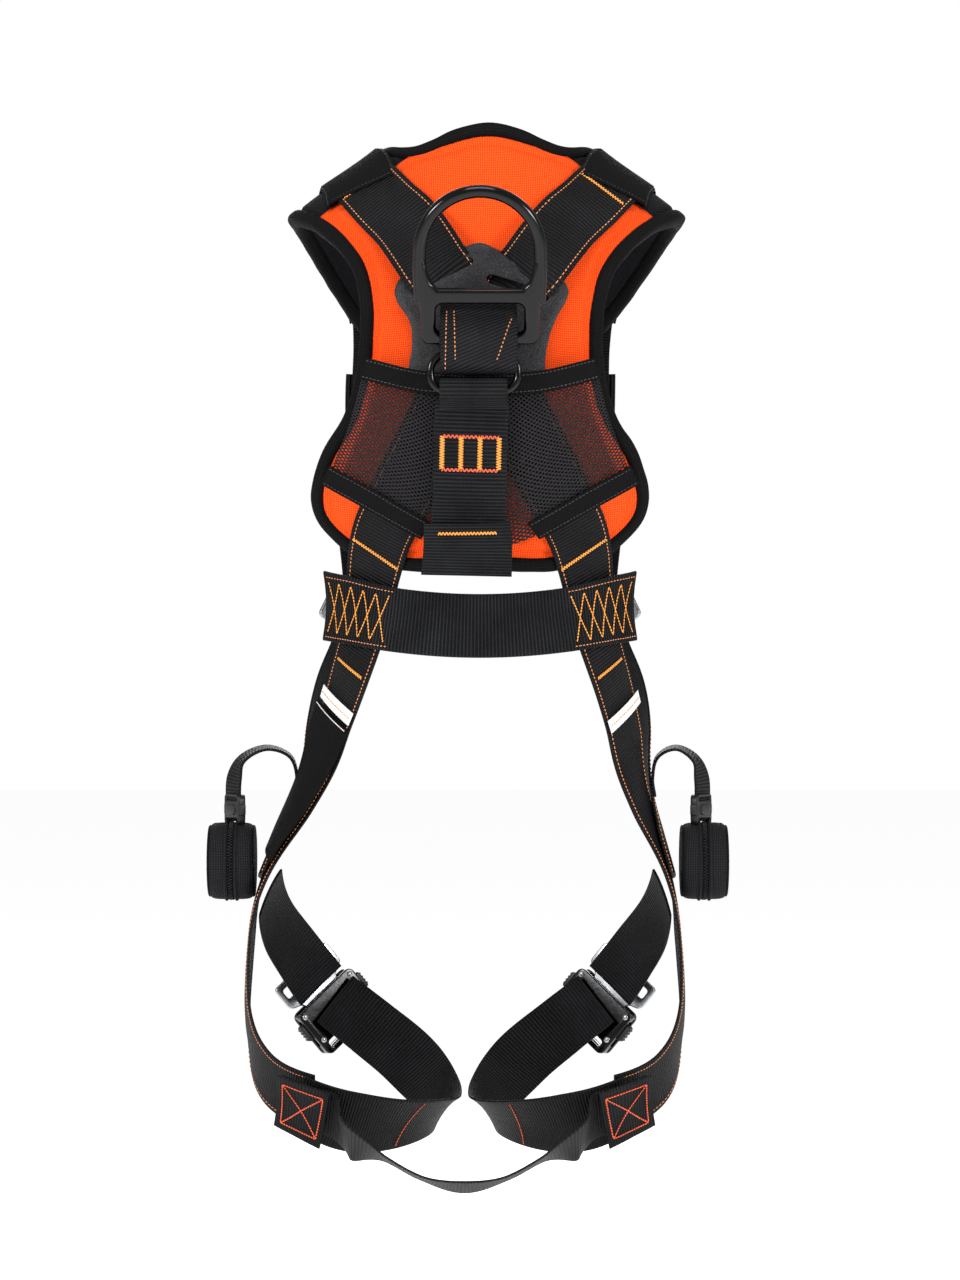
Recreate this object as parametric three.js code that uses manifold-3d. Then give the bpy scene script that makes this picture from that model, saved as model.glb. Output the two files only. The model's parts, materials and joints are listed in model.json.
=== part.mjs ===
// Full-body fall-arrest harness in its worn shape. Millimetres, +Z up, the wearer faces +Y.
// The origin is the middle of the wearer's torso at the height of the waist strap.
import * as THREE from 'three';
import Module from 'manifold-3d';
import { mergeVertices } from 'three/addons/utils/BufferGeometryUtils.js';

// ---- driving dimensions -----------------------------------------------------------------------
const WEB = { wide: 45, thick: 1.6 };
const SEAT_WEB_WIDE = 38;
const PAD_BINDING = { wide: 9, low: 0.8, thick: 10.4 };
const PAD_INSET = 6.8;
const D_RING = { lean: 20, deep: 10, bar: 8, half: 46, top: 108, slotHalf: 30.5, slotTop: 25, eyeLow: 35 };
const POUCH = { radius: 28, half: 15, wall: 1.6, gap: 4.4 };
const BUCKLE = { long: 40, wide: 58, deep: 13, channelWide: 46, channelDeep: 6 };
const TONGUE = { thick: 3.2, blade: 24 };
const TAB = { long: 14, wide: 8, deep: 7 };
const ADJUSTER = { long: 30, wide: 58, thick: 3 };

// Heights of the layers above the wearer's skin, from the lining out to the keeper strap.
const LAYER = {
  lining: [1.0, 2.2],
  foam: [3.2, 8.8],
  cover: [9.8, 10.8],
  web: 12.4,
  webOver: 15.4,
  plate: [18.4, 21.0],
  mesh: [18.6, 19.4],
  band: [20.6, 21.8],
  topBand: [22.2, 23.4],
  keeper: [24.6, 27.4],
  fold: [28.6, 30.4],
};

// ---- the wearer's body, as rounded solids blended together ---------------------------------------
const BLEND = 34;
const BODY = [
  { from: [0, 0, 300], to: [0, 8, 430], radius: 53 },
  { from: [-150, -5, 196], to: [-42, -5, 260], radius: 60 },
  { from: [42, -5, 260], to: [150, -5, 196], radius: 60 },
  { centre: [0, 0, 170], radii: [176, 110, 168] },
  { centre: [0, 0, -60], radii: [118, 84, 220] },
  { centre: [-62, 0, -235], radii: [84, 90, 125] },
  { centre: [62, 0, -235], radii: [84, 90, 125] },
  { centre: [-62, -40, -255], radii: [78, 76, 90] },
  { centre: [62, -40, -255], radii: [78, 76, 90] },
  { from: [-92, 0, -480], to: [-91, 0, -300], radius: 60 },
  { from: [91, 0, -300], to: [92, 0, -480], radius: 60 },
].map((part) => Object.fromEntries(Object.entries(part).map(([key, value]) => [
  key, Array.isArray(value) ? new THREE.Vector3(...value) : value,
])));

function partDistance(part, p) {
  if (part.centre) {
    const q = p.clone().sub(part.centre);
    const near = q.clone().divide(part.radii).length();
    const slope = q.clone().divide(part.radii).divide(part.radii).length();
    return slope === 0 ? -part.radii.y : (near * (near - 1)) / slope;
  }
  const line = new THREE.Line3(part.from, part.to);
  return line.closestPointToPoint(p, true, new THREE.Vector3()).distanceTo(p) - part.radius;
}

function bodyDistance(p) {
  return BODY.reduce((nearest, part) => {
    const d = partDistance(part, p);
    const h = Math.max(BLEND - Math.abs(nearest - d), 0) / BLEND;
    return Math.min(nearest, d) - (h * h * BLEND) / 4;
  }, 1e4);
}

function outward(p) {
  const reach = 0.5;
  const slope = ['x', 'y', 'z'].map((axis) => {
    const ahead = p.clone();
    const behind = p.clone();
    ahead[axis] += reach;
    behind[axis] -= reach;
    return bodyDistance(ahead) - bodyDistance(behind);
  });
  return new THREE.Vector3(...slope).normalize();
}

// Moves a point to the given height above the skin.
function settle(p, lift) {
  const q = p.clone();
  for (let i = 0; i < 8; i += 1) {
    q.addScaledVector(outward(q), lift - bodyDistance(q));
  }
  return q;
}

// The harness hangs a little to one side below the waist, and the neck sits a little to the other.
function sway(z) {
  return 6 * THREE.MathUtils.smoothstep(z, 150, 350) - 11 * THREE.MathUtils.smoothstep(-z, 40, 230);
}

const flip = (points) => points.map(([x, ...rest]) => [-x, ...rest]);
const vectors = (points) => points.map(([x, y, z]) => new THREE.Vector3(x, y, z));

// ---- solids --------------------------------------------------------------------------------------
// A closed solid between two grids of points. `loop` joins the last row to the first, and `open`
// names the cells that are left out, as slots.
function skin(lower, upper, { loop = false, open = () => false } = {}) {
  const rows = lower.length;
  const columns = lower[0].length;
  const cells = loop ? rows : rows - 1;
  const at = (side, i, j) => side * rows * columns + (i % rows) * columns + j;
  const has = (i, j) => (loop || (i >= 0 && i < cells)) && j >= 0 && j < columns - 1
    && !open((i + rows) % rows, j);
  const faces = [];
  const quad = (a, b, c, d) => faces.push(a, b, c, a, c, d);
  for (let i = 0; i < cells; i += 1) {
    for (let j = 0; j < columns - 1; j += 1) {
      if (!has(i, j)) {
        continue;
      }
      quad(at(1, i, j), at(1, i, j + 1), at(1, i + 1, j + 1), at(1, i + 1, j));
      quad(at(0, i, j), at(0, i + 1, j), at(0, i + 1, j + 1), at(0, i, j + 1));
      if (!has(i, j - 1)) {
        quad(at(0, i, j), at(1, i, j), at(1, i + 1, j), at(0, i + 1, j));
      }
      if (!has(i, j + 1)) {
        quad(at(0, i, j + 1), at(0, i + 1, j + 1), at(1, i + 1, j + 1), at(1, i, j + 1));
      }
      if (!has(i - 1, j)) {
        quad(at(0, i, j), at(0, i, j + 1), at(1, i, j + 1), at(1, i, j));
      }
      if (!has(i + 1, j)) {
        quad(at(0, i + 1, j), at(1, i + 1, j), at(1, i + 1, j + 1), at(0, i + 1, j + 1));
      }
    }
  }
  const corners = [...lower.flat(), ...upper.flat()];
  return facingOut(corners, faces);
}

function facingOut(corners, faces) {
  let volume = 0;
  for (let i = 0; i < faces.length; i += 3) {
    const [a, b, c] = [corners[faces[i]], corners[faces[i + 1]], corners[faces[i + 2]]];
    volume += a.dot(b.clone().cross(c));
  }
  const geometry = new THREE.BufferGeometry();
  geometry.setAttribute('position', new THREE.Float32BufferAttribute(
    corners.flatMap((p) => [p.x, p.y, p.z]), 3,
  ));
  geometry.setIndex(volume > 0 ? faces : faces.slice().reverse());
  return geometry.toNonIndexed();
}

function swayed(p) {
  return new THREE.Vector3(p.x + sway(p.z), p.y, p.z);
}

// Lays a grid of points on the wearer between two heights.
function laid(grid, low, high, options) {
  const at = (lift) => grid.map((row) => row.map((p) => swayed(settle(p, lift))));
  return skin(at(low), at(high), options);
}

// The rows of a strap along a centre line. Each point of the centre line may hold a fourth number,
// its height above the skin.
function strapRows(points, wide, { across = 3, step = 18, loop = false } = {}) {
  const line = new THREE.CatmullRomCurve3(vectors(points), loop, 'centripetal');
  const heights = new THREE.CatmullRomCurve3(
    points.map((p) => new THREE.Vector3(p[3] ?? 0, 0, 0)), loop, 'centripetal',
  );
  const count = Math.ceil(line.getLength() / step);
  const rows = [];
  for (let i = 0; i < (loop ? count : count + 1); i += 1) {
    const t = line.getUtoTmapping(i / count);
    const along = line.getTangent(t);
    const centre = line.getPoint(t);
    const side = new THREE.Vector3().crossVectors(outward(centre), along).normalize();
    const width = typeof wide === 'function' ? wide(i / count) : wide;
    const row = [];
    for (let j = 0; j < across; j += 1) {
      row.push(centre.clone().addScaledVector(side, width * (j / (across - 1) - 0.5)));
    }
    rows.push({ row, lift: heights.getPoint(t).x });
  }
  return rows;
}

// A strap that follows the wearer at the heights that its points give.
function strap(points, { wide = WEB.wide, thick = WEB.thick, ...options } = {}) {
  const rows = strapRows(points, wide, options);
  const at = (extra) => rows.map(({ row, lift }) => row.map((p) => swayed(settle(p, lift + extra))));
  return skin(at(0), at(thick), { loop: options.loop });
}

// A strap with its own facing: each point is [x, y, z, facing], where facing is a unit normal.
function freeStrap(points, { wide = WEB.wide, thick = WEB.thick } = {}) {
  const at = (extra) => points.map(([x, y, z, facing], i) => {
    const before = points[Math.max(i - 1, 0)];
    const after = points[Math.min(i + 1, points.length - 1)];
    const along = new THREE.Vector3(after[0] - before[0], after[1] - before[1], after[2] - before[2]);
    const normal = new THREE.Vector3(...facing).normalize();
    const side = new THREE.Vector3().crossVectors(normal, along).normalize();
    const centre = new THREE.Vector3(x, y, z).addScaledVector(normal, extra);
    return [-0.5, 0.5].map((share) => centre.clone().addScaledVector(side, wide * share));
  });
  return skin(at(-thick / 2), at(thick / 2));
}

const wasm = await Module();
wasm.setup();

function toSolid(geometry) {
  const bare = geometry.clone();
  bare.deleteAttribute('normal');
  bare.deleteAttribute('uv');
  const merged = mergeVertices(bare, 1e-4);
  return new wasm.Manifold(new wasm.Mesh({
    numProp: 3,
    vertProperties: new Float32Array(merged.attributes.position.array),
    triVerts: new Uint32Array(merged.index.array),
  }));
}

function fromSolid(solid) {
  const mesh = solid.getMesh();
  const geometry = new THREE.BufferGeometry();
  geometry.setAttribute('position', new THREE.BufferAttribute(mesh.vertProperties, 3));
  geometry.setIndex(new THREE.BufferAttribute(mesh.triVerts, 1));
  return geometry.toNonIndexed();
}

function block([x0, y0, z0], [x1, y1, z1]) {
  return new THREE.BoxGeometry(x1 - x0, y1 - y0, z1 - z0)
    .translate((x0 + x1) / 2, (y0 + y1) / 2, (z0 + z1) / 2);
}

// A rounded rectangle outline about the origin.
function rounded(wide, high, radius, Outline = THREE.Shape) {
  const [x, y] = [wide / 2, high / 2];
  const outline = new Outline();
  outline.moveTo(x - radius, -y);
  outline.absarc(x - radius, -y + radius, radius, -Math.PI / 2, 0);
  outline.absarc(x - radius, y - radius, radius, 0, Math.PI / 2);
  outline.absarc(-x + radius, y - radius, radius, Math.PI / 2, Math.PI);
  outline.absarc(-x + radius, -y + radius, radius, Math.PI, 1.5 * Math.PI);
  return outline;
}

function shiftedHole(wide, high, radius, x, y) {
  const hole = new THREE.Path();
  hole.setFromPoints(rounded(wide, high, radius).getPoints(3).map((p) => new THREE.Vector2(p.x + x, p.y + y)));
  return hole;
}

function plateOf(outline, deep, curveSegments = 3) {
  return new THREE.ExtrudeGeometry(outline, { depth: deep, bevelEnabled: false, curveSegments })
    .translate(0, 0, -deep / 2);
}

// ---- the finishes ----------------------------------------------------------------------------------
const FINISH = {
  orange: { color: 0xf0551e, roughness: 0.85, metalness: 0 },
  black: { color: 0x17171a, roughness: 0.9, metalness: 0 },
  web: { color: 0x141416, roughness: 0.7, metalness: 0 },
  mesh: { color: 0x2a2426, roughness: 0.9, metalness: 0 },
  foam: { color: 0x3a3a3c, roughness: 1, metalness: 0 },
  plastic: { color: 0x2b2b2d, roughness: 0.6, metalness: 0 },
  blackMetal: { color: 0x0c0c0e, roughness: 0.25, metalness: 0.7 },
  steel: { color: 0x9fa2a6, roughness: 0.35, metalness: 1 },
  label: { color: 0xe9e9e6, roughness: 0.8, metalness: 0 },
};

const harness = new THREE.Group();

function place(name, geometry, finish, parent = harness) {
  const mesh = new THREE.Mesh(geometry, new THREE.MeshStandardMaterial(FINISH[finish]));
  mesh.name = name;
  parent.add(mesh);
  return mesh;
}

// ---- back pad ----------------------------------------------------------------------------------------
// Half of the pad's outer edge, from the middle of the bottom, up the armhole, over the shoulder, round
// the end of the shoulder pad on the chest and back up to the middle of the neck.
const HALF_EDGE = [
  [0, -92, 40], [55, -92, 38], [96, -82, 46], [114, -74, 66], [117, -76, 84], [106, -86, 116],
  [90, -98, 142], [82, -104, 170], [80, -104, 200], [82, -100, 226], [88, -94, 247], [101, -80, 266],
  [120, -52, 282], [128, -38, 286], [135, -8, 288], [129, 35, 280], [115, 70, 258], [104, 94, 240],
  [88, 104, 222], [66, 106, 224], [50, 102, 244], [48, 86, 276], [56, 57, 300], [67, 16, 314],
  [52, -40, 328], [28, -57, 345], [0, -62, 351],
];
const edgeLoop = [...HALF_EDGE.slice(0, -1), ...flip([...HALF_EDGE].reverse()).slice(0, -1)];
place('pad_binding', strap(
  edgeLoop.map((p) => [...p, PAD_BINDING.low]),
  { wide: PAD_BINDING.wide, thick: PAD_BINDING.thick, across: 2, step: 13, loop: true },
), 'black');

// A line of points moved in from the outer edge, towards `inside`.
function insetLine(points, inside, inset) {
  const line = new THREE.CatmullRomCurve3(vectors(points), false, 'centripetal');
  return (share) => {
    const at = settle(line.getPointAt(share), 0);
    const along = line.getTangentAt(share);
    const side = new THREE.Vector3().crossVectors(outward(at), along).normalize();
    const towards = side.dot(new THREE.Vector3(...inside).sub(at)) > 0 ? 1 : -1;
    return at.addScaledVector(side, towards * inset);
  };
}

// A four-sided patch between a bottom, top, left and right line.
function patch(bottom, top, left, right, rows, columns) {
  const grid = [];
  for (let i = 0; i <= rows; i += 1) {
    const v = i / rows;
    const row = [];
    for (let j = 0; j <= columns; j += 1) {
      const u = j / columns;
      const p = new THREE.Vector3()
        .addScaledVector(bottom(u), 1 - v).addScaledVector(top(u), v)
        .addScaledVector(left(v), 1 - u).addScaledVector(right(v), u)
        .addScaledVector(bottom(0), -(1 - u) * (1 - v)).addScaledVector(bottom(1), -u * (1 - v))
        .addScaledVector(top(0), -(1 - u) * v).addScaledVector(top(1), -u * v);
      row.push(p);
    }
    grid.push(row);
  }
  return grid;
}

const mid = [0, -100, 180];
const bottomEdge = [...flip(HALF_EDGE.slice(1, 3)).reverse(), ...HALF_EDGE.slice(0, 3)];
const armEdge = HALF_EDGE.slice(2, 13);
const ridge = [
  [120, -52, 282], [105, -46, 289], [80, -46, 304], [52, -40, 328], [28, -57, 345], [0, -62, 351],
];
const ridgeEdge = [...flip(ridge), ...[...ridge].reverse().slice(1)];
const rightEdge = insetLine(armEdge, mid, PAD_INSET);
const leftEdge = insetLine(flip(armEdge), mid, PAD_INSET);
const low = insetLine(bottomEdge, mid, PAD_INSET);
const high = insetLine(ridgeEdge, mid, PAD_INSET + 2.5);
function blendEnds(line, ends) {
  const [from, to] = [line(0), line(1)];
  return (share) => line(share)
    .addScaledVector(ends[0].clone().sub(from), (1 - share) ** 6)
    .addScaledVector(ends[1].clone().sub(to), share ** 6);
}
const lowEnds = [leftEdge(0), rightEdge(0)];
const highEnds = [leftEdge(1), rightEdge(1)];
const padGrid = patch(
  blendEnds(low, lowEnds), blendEnds(high, highEnds), leftEdge, rightEdge, 15, 11,
);
place('back_pad_lining', laid(padGrid, ...LAYER.lining), 'mesh');
place('back_pad_foam', laid(padGrid, ...LAYER.foam), 'foam');
place('back_pad_cover', laid(padGrid, ...LAYER.cover), 'orange');

// The shoulder pads carry on from the ridge, over the shoulder and down to the chest.
for (const [side, sign] of [['left', -1], ['right', 1]]) {
  const half = (points) => points.map(([x, ...rest]) => [sign * x, ...rest]);
  const inside = [sign * 106, 24, 316];
  const outer = insetLine(half(HALF_EDGE.slice(13, 18)), inside, PAD_INSET);
  const inner = insetLine(half(HALF_EDGE.slice(20, 25)).reverse(), inside, PAD_INSET + 0.6);
  const chestEnd = insetLine(half(HALF_EDGE.slice(17, 21)).reverse(), inside, PAD_INSET);
  const ridgeEnd = insetLine(half(ridge.slice(0, 4)).reverse(), inside, PAD_INSET + 1.5);
  const grid = patch(
    blendEnds(chestEnd, [inner(1), outer(1)]), blendEnds(ridgeEnd, [inner(0), outer(0)]),
    (share) => inner(1 - share), (share) => outer(1 - share), 9, 5,
  );
  place(`shoulder_pad_${side}`, laid(grid, LAYER.lining[0], LAYER.cover[1]), 'black');
}

// ---- webs -----------------------------------------------------------------------------------------------
// From the front adjuster, over one shoulder, through the crossing and down to the other hip.
const { web } = LAYER;
function mainWeb(over) {
  return [
    [112, 80, 6, 4], [104, 91, 40, 4], [93, 100, 80, 4], [82, 105, 125, 4], [76, 106, 165, 6],
    [75, 105, 188, 8], [74, 104, 210, web], [76, 100, 232, web], [80, 86, 262, web], [88, 52, 295, web],
    [92, 10, 313, web], [87, -34, 309, web], [68, -66, 287, web], [45, -85, 265, over],
    [28, -98, 237, over], [10, -105, 203, over], [0, -107, 187, over], [-14, -107, 162, over],
    [-40, -104, 115, over], [-56, -100, 86, web], [-71, -95, 59, web], [-79, -92, 40, web],
    [-85, -88, 24, 10.6], [-99, -82, -15, 8], [-111, -72, -45, 5], [-121, -60, -73, 4],
    [-131, -40, -112, 6], [-140, -26, -150, 8], [-144, -18, -180, 8], [-146, -12, -239, 6.6],
    [-146, -15, -295, 3], [-137, -40, -325, 3], [-112, -80, -347, 3],
  ];
}
place('main_web_right', strap(mainWeb(web)), 'web');
place('main_web_left', strap(flip(mainWeb(LAYER.webOver))), 'web');

const WAIST_STRAP = [
  [121, -62, 9, 14.4], [99, -78, 6, 14.4], [60, -88, 0, 14.2], [30, -91, -3, 9], [0, -92, -4, 7],
];
place('waist_strap', strap([...WAIST_STRAP, ...flip(WAIST_STRAP.slice(0, -1).reverse())]), 'web');

const HIP_WEB = [
  [114, 77, -2, 4], [121, 60, -30, 4], [129, 38, -60, 5], [138, 12, -110, 8.6],
  [143, -6, -155, 10.8], [145, -12, -186, 10.8],
];
place('hip_web_left', strap(flip(HIP_WEB)), 'web');
place('hip_web_right', strap(HIP_WEB), 'web');

const SLEEVE = [[120, -62, -68, 8], [131, -40, -112, 11.4], [139, -26, -150, 13.6], [142, -22, -170, 13.6]];
place('label_sleeve', strap(flip(SLEEVE), { wide: 49, thick: 1.4 }), 'black');
const TAG = [[117, -66, -58, 7.4], [123, -56, -76, 7.4]];
place('label_tag_left', strap(flip([[116, -67, -56, 7.4], [119, -63, -65, 7.6]]), { thick: 0.6 }), 'label');
place('label_tag_right', strap(TAG, { thick: 0.6 }), 'label');

// ---- back hardware: mesh cover, plate, D-ring, connector loop, keeper strap ------------------------------
const ray = (x, z) => settle(new THREE.Vector3(x, -100, z), 0);
const lineOf = (points) => {
  const curve = new THREE.CatmullRomCurve3(points.map(([x, z]) => ray(x, z)), false, 'centripetal');
  return (share) => curve.getPointAt(share);
};
const MESH_LEFT = [[-110, 97], [-100, 114], [-86, 142], [-76, 175]];
const MESH_LOW = [[-110, 97], [-72, 79], [-36, 60], [0, 50], [36, 60], [72, 79], [110, 97]];
const MESH_HIGH = [[-76, 175], [-38, 166], [0, 164], [38, 166], [76, 175]];
const meshGrid = patch(
  lineOf(MESH_LOW), lineOf(MESH_HIGH), lineOf(MESH_LEFT), lineOf(flip(MESH_LEFT)), 9, 13,
);
place('mesh_cover', laid(meshGrid, ...LAYER.mesh), 'mesh');

const pathOver = (points, lift) => points.map(([x, z]) => {
  const p = ray(x, z);
  return [p.x, p.y, p.z, lift];
});
const band = (points, [bandLow, bandHigh]) => strap(
  pathOver(points, bandLow), { wide: 14, thick: bandHigh - bandLow, across: 2 },
);
place('mesh_top_band', band(MESH_HIGH, LAYER.topBand), 'black');
place('mesh_lower_band_left', band([[-109, 102], [-72, 85], [-36, 65]], LAYER.band), 'black');
place('mesh_lower_band_right', band([[109, 102], [72, 85], [36, 65]], LAYER.band), 'black');

// The plate narrows under the top band and spreads into two lobes where the webs come through.
const PLATE_ROWS = [
  [169, 45], [182, 43], [196, 45], [209, 51], [220, 57], [230, 55], [240, 44], [249, 28], [257, 14],
];
const plateGrid = PLATE_ROWS.map(([z, half]) => {
  const row = [];
  for (let j = 0; j <= 8; j += 1) {
    row.push(ray(half * (j / 4 - 1), z));
  }
  return row;
});
const slots = (i, j) => i === 5 && (j === 1 || j === 2 || j === 5 || j === 6);
place('dorsal_plate', laid(plateGrid, ...LAYER.plate, { open: slots }), 'plastic');

const pivot = settle(new THREE.Vector3(0, -110, 192), LAYER.plate[1] + 10);
// An odd number of facets leaves one flat at the very top, where a connector hangs.
const EYE_FACETS = 7;
function dRingOutline() {
  const { half, top, slotHalf, slotTop, eyeLow, bar } = D_RING;
  const centre = top - half;
  const outline = new THREE.Shape();
  outline.moveTo(-36, -bar / 2);
  outline.lineTo(36, -bar / 2);
  outline.quadraticCurveTo(40, -bar / 2, 40, 0);
  outline.lineTo(41, 22);
  outline.bezierCurveTo(42, 34, half, 44, half, centre);
  outline.absarc(0, centre, half, 0, Math.PI);
  outline.bezierCurveTo(-half, 44, -42, 34, -41, 22);
  outline.lineTo(-40, 0);
  outline.quadraticCurveTo(-40, -bar / 2, -36, -bar / 2);
  const slotHigh = slotTop - bar / 2;
  outline.holes.push(shiftedHole(2 * slotHalf, slotHigh, 4, 0, bar / 2 + slotHigh / 2));
  const eye = new THREE.Path();
  eye.moveTo(-29, eyeLow);
  eye.lineTo(29, eyeLow);
  eye.bezierCurveTo(34, eyeLow, half - 9, 48, half - 9, centre);
  for (let k = 1; k <= EYE_FACETS; k += 1) {
    const turn = (Math.PI * k) / EYE_FACETS;
    eye.lineTo((half - 9) * Math.cos(turn), centre + (half - 9) * Math.sin(turn));
  }
  eye.bezierCurveTo(9 - half, 48, -34, eyeLow, -29, eyeLow);
  outline.holes.push(eye);
  return outline;
}
const dRing = new THREE.Group();
dRing.position.copy(pivot);
dRing.rotation.x = Math.PI / 2 + THREE.MathUtils.degToRad(D_RING.lean);
harness.add(dRing);
place('dorsal_d_ring', plateOf(dRingOutline(), D_RING.deep, 5), 'blackMetal', dRing);

// The wrap lies behind the bar, turns over it and comes down in front.
const WRAP = { wide: 55, thick: 2, radius: 8.1 };
const wrapPath = [[WRAP.radius, -8], [WRAP.radius, -2]];
for (let step = 0; step <= 6; step += 1) {
  const turn = (Math.PI * step) / 6;
  wrapPath.push([WRAP.radius * Math.cos(turn), WRAP.radius * Math.sin(turn)]);
}
wrapPath.push([-WRAP.radius, -2], [-WRAP.radius, -4.6]);
place('d_ring_wrap', freeStrap(wrapPath.map(([y, z], i) => {
  const turn = Math.PI * Math.min(Math.max((i - 2) / 6, 0), 1);
  return [-1, pivot.y + y, pivot.z + z, [0, Math.cos(turn), Math.sin(turn)]];
}), WRAP), 'web');

const loopAt = settle(new THREE.Vector3(0, -110, 170.5), 32.5);
const loopOutline = rounded(66, 31, 14);
loopOutline.holes.push(shiftedHole(54, 19, 8, 0, 0));
const loopPlate = place('connector_loop', plateOf(loopOutline, 5.5), 'blackMetal');
loopPlate.position.set(-4, loopAt.y, loopAt.z);
loopPlate.rotation.x = Math.PI / 2;

place('keeper_strap', strap(
  pathOver([[-5, 153], [-6, 120], [-7, 80], [-8, 44]], LAYER.keeper[0]),
  { wide: 47, thick: LAYER.keeper[1] - LAYER.keeper[0] },
), 'web');
place('keeper_fold', strap(
  pathOver([[-8, 74], [-8, 54], [-9, 33]], LAYER.fold[0]),
  { wide: 54, thick: LAYER.fold[1] - LAYER.fold[0] },
), 'web');

// ---- seat and legs ------------------------------------------------------------------------------------------
// A hanging strap: each point gives its facing, or a height above the skin where it lies on the wearer.
function hangingStrap(points, options) {
  const resolved = points.map(([x, y, z, hold]) => {
    if (Array.isArray(hold)) {
      return { at: new THREE.Vector3(x, y, z), facing: new THREE.Vector3(...hold).normalize() };
    }
    const at = settle(new THREE.Vector3(x, y, z), hold);
    return { at, facing: outward(at) };
  });
  const centre = new THREE.CatmullRomCurve3(resolved.map(({ at }) => at), false, 'centripetal');
  const facings = new THREE.CatmullRomCurve3(resolved.map(({ facing }) => facing));
  const count = Math.ceil(centre.getLength() / 10);
  const fine = [];
  for (let i = 0; i <= count; i += 1) {
    const t = i / count;
    const p = swayed(centre.getPoint(t));
    fine.push([p.x, p.y, p.z, facings.getPoint(t).toArray()]);
  }
  return freeStrap(fine, options);
}
const SEAT_STRAP = [
  [126, -62, -338, 12.4], [109, -85, -350, 12.4], [96, -97, -358, 12.6], [80, -107, -367, [0.2, -0.7, -0.7]],
  [58, -110, -376, [0.05, -0.25, -0.97]], [29, -111, -391, [0, -0.2, -0.98]],
  [0, -111, -397, [0, -0.34, -0.94]],
];
place('sub_pelvic_strap', hangingStrap(
  [...SEAT_STRAP, ...flip(SEAT_STRAP.slice(0, -1).reverse()).map(([x, y, z, hold]) => [
    x, y, z, Array.isArray(hold) ? [-hold[0], hold[1], hold[2]] : hold,
  ])], { wide: SEAT_WEB_WIDE },
), 'web');

// A station is where a hard fitting sits on the wearer: its middle, its direction and its facing.
function station(x, y, z, lift, heading) {
  const at = settle(new THREE.Vector3(x, y, z), lift);
  const facing = outward(at);
  const along = new THREE.Vector3(...heading);
  along.addScaledVector(facing, -along.dot(facing)).normalize();
  return { at, facing, along, across: new THREE.Vector3().crossVectors(facing, along) };
}

function stationGroup({ at, facing, along, across }) {
  const group = new THREE.Group();
  group.applyMatrix4(new THREE.Matrix4().makeBasis(along, across, facing).setPosition(swayed(at)));
  harness.add(group);
  return group;
}

// ---- quick-connect buckles --------------------------------------------------------------------------------------
// The receptacle opens towards +X. Its side windows hold the two release tabs.
function receptacle() {
  const { long, wide, deep, channelWide, channelDeep } = BUCKLE;
  const shell = toSolid(block([-long, -wide / 2, 0], [0, wide / 2, deep]));
  const middle = deep / 2;
  const inner = channelWide / 2 - 2.2;
  const [low, high] = [middle - TAB.deep / 2 - 0.5, middle + TAB.deep / 2 + 0.5];
  const cuts = [
    block(
      [-long + 10, -channelWide / 2, middle - channelDeep / 2],
      [1, channelWide / 2, middle + channelDeep / 2],
    ),
    block([-TAB.long - 9, -wide, low], [-8, -inner, high]),
    block([-TAB.long - 9, inner, low], [-8, wide, high]),
    block([-long + 4, -channelWide / 2, -1], [-long + 9, channelWide / 2, deep + 1]),
  ];
  return fromSolid(cuts.reduce((solid, cut) => solid.subtract(toSolid(cut)), shell));
}

// The tongue's blade lies in the channel, and its frame has a window for the web.
function tongueOutline() {
  const bladeHalf = BUCKLE.channelWide / 2 - 6;
  const outline = new THREE.Shape();
  outline.moveTo(-TONGUE.blade, -bladeHalf + 5);
  outline.lineTo(-TONGUE.blade + 7, -bladeHalf);
  outline.lineTo(2, -bladeHalf);
  outline.lineTo(6, -28);
  outline.lineTo(26, -28);
  outline.lineTo(26, 28);
  outline.lineTo(6, 28);
  outline.lineTo(2, bladeHalf);
  outline.lineTo(-TONGUE.blade + 7, bladeHalf);
  outline.lineTo(-TONGUE.blade, bladeHalf - 5);
  outline.holes.push(shiftedHole(8, 47, 2, 17, 0));
  outline.holes.push(shiftedHole(7, 20, 2, -14, 0));
  return outline;
}

function quickBuckle(prefix, spot) {
  const group = stationGroup(spot);
  const middle = BUCKLE.deep / 2;
  place(`${prefix}_buckle_receptacle`, receptacle(), 'blackMetal', group);
  place(`${prefix}_buckle_tongue`, plateOf(tongueOutline(), TONGUE.thick), 'steel', group)
    .position.z = middle;
  for (const [end, sign] of [['upper', 1], ['lower', -1]]) {
    const tab = plateOf(rounded(TAB.long, TAB.wide, 2), TAB.deep);
    place(`${prefix}_release_tab_${end}`, tab, 'plastic', group)
      .position.set(-8.5 - TAB.long / 2, sign * (BUCKLE.wide / 2 - 0.5), middle);
  }
}

const CHEST_Z = 165;
quickBuckle('chest', station(-4, 120, CHEST_Z, 15, [1, 0, 0]));
const CHEST_STRAP = [[99, 95, CHEST_Z, 11.4], [76, 106, CHEST_Z, 11.4], [40, 112, CHEST_Z, 11.4], [8, 114, CHEST_Z, 11.4]];
place('chest_web_right', strap(CHEST_STRAP), 'web');
place('chest_web_left', strap(flip(CHEST_STRAP)), 'web');

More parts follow.
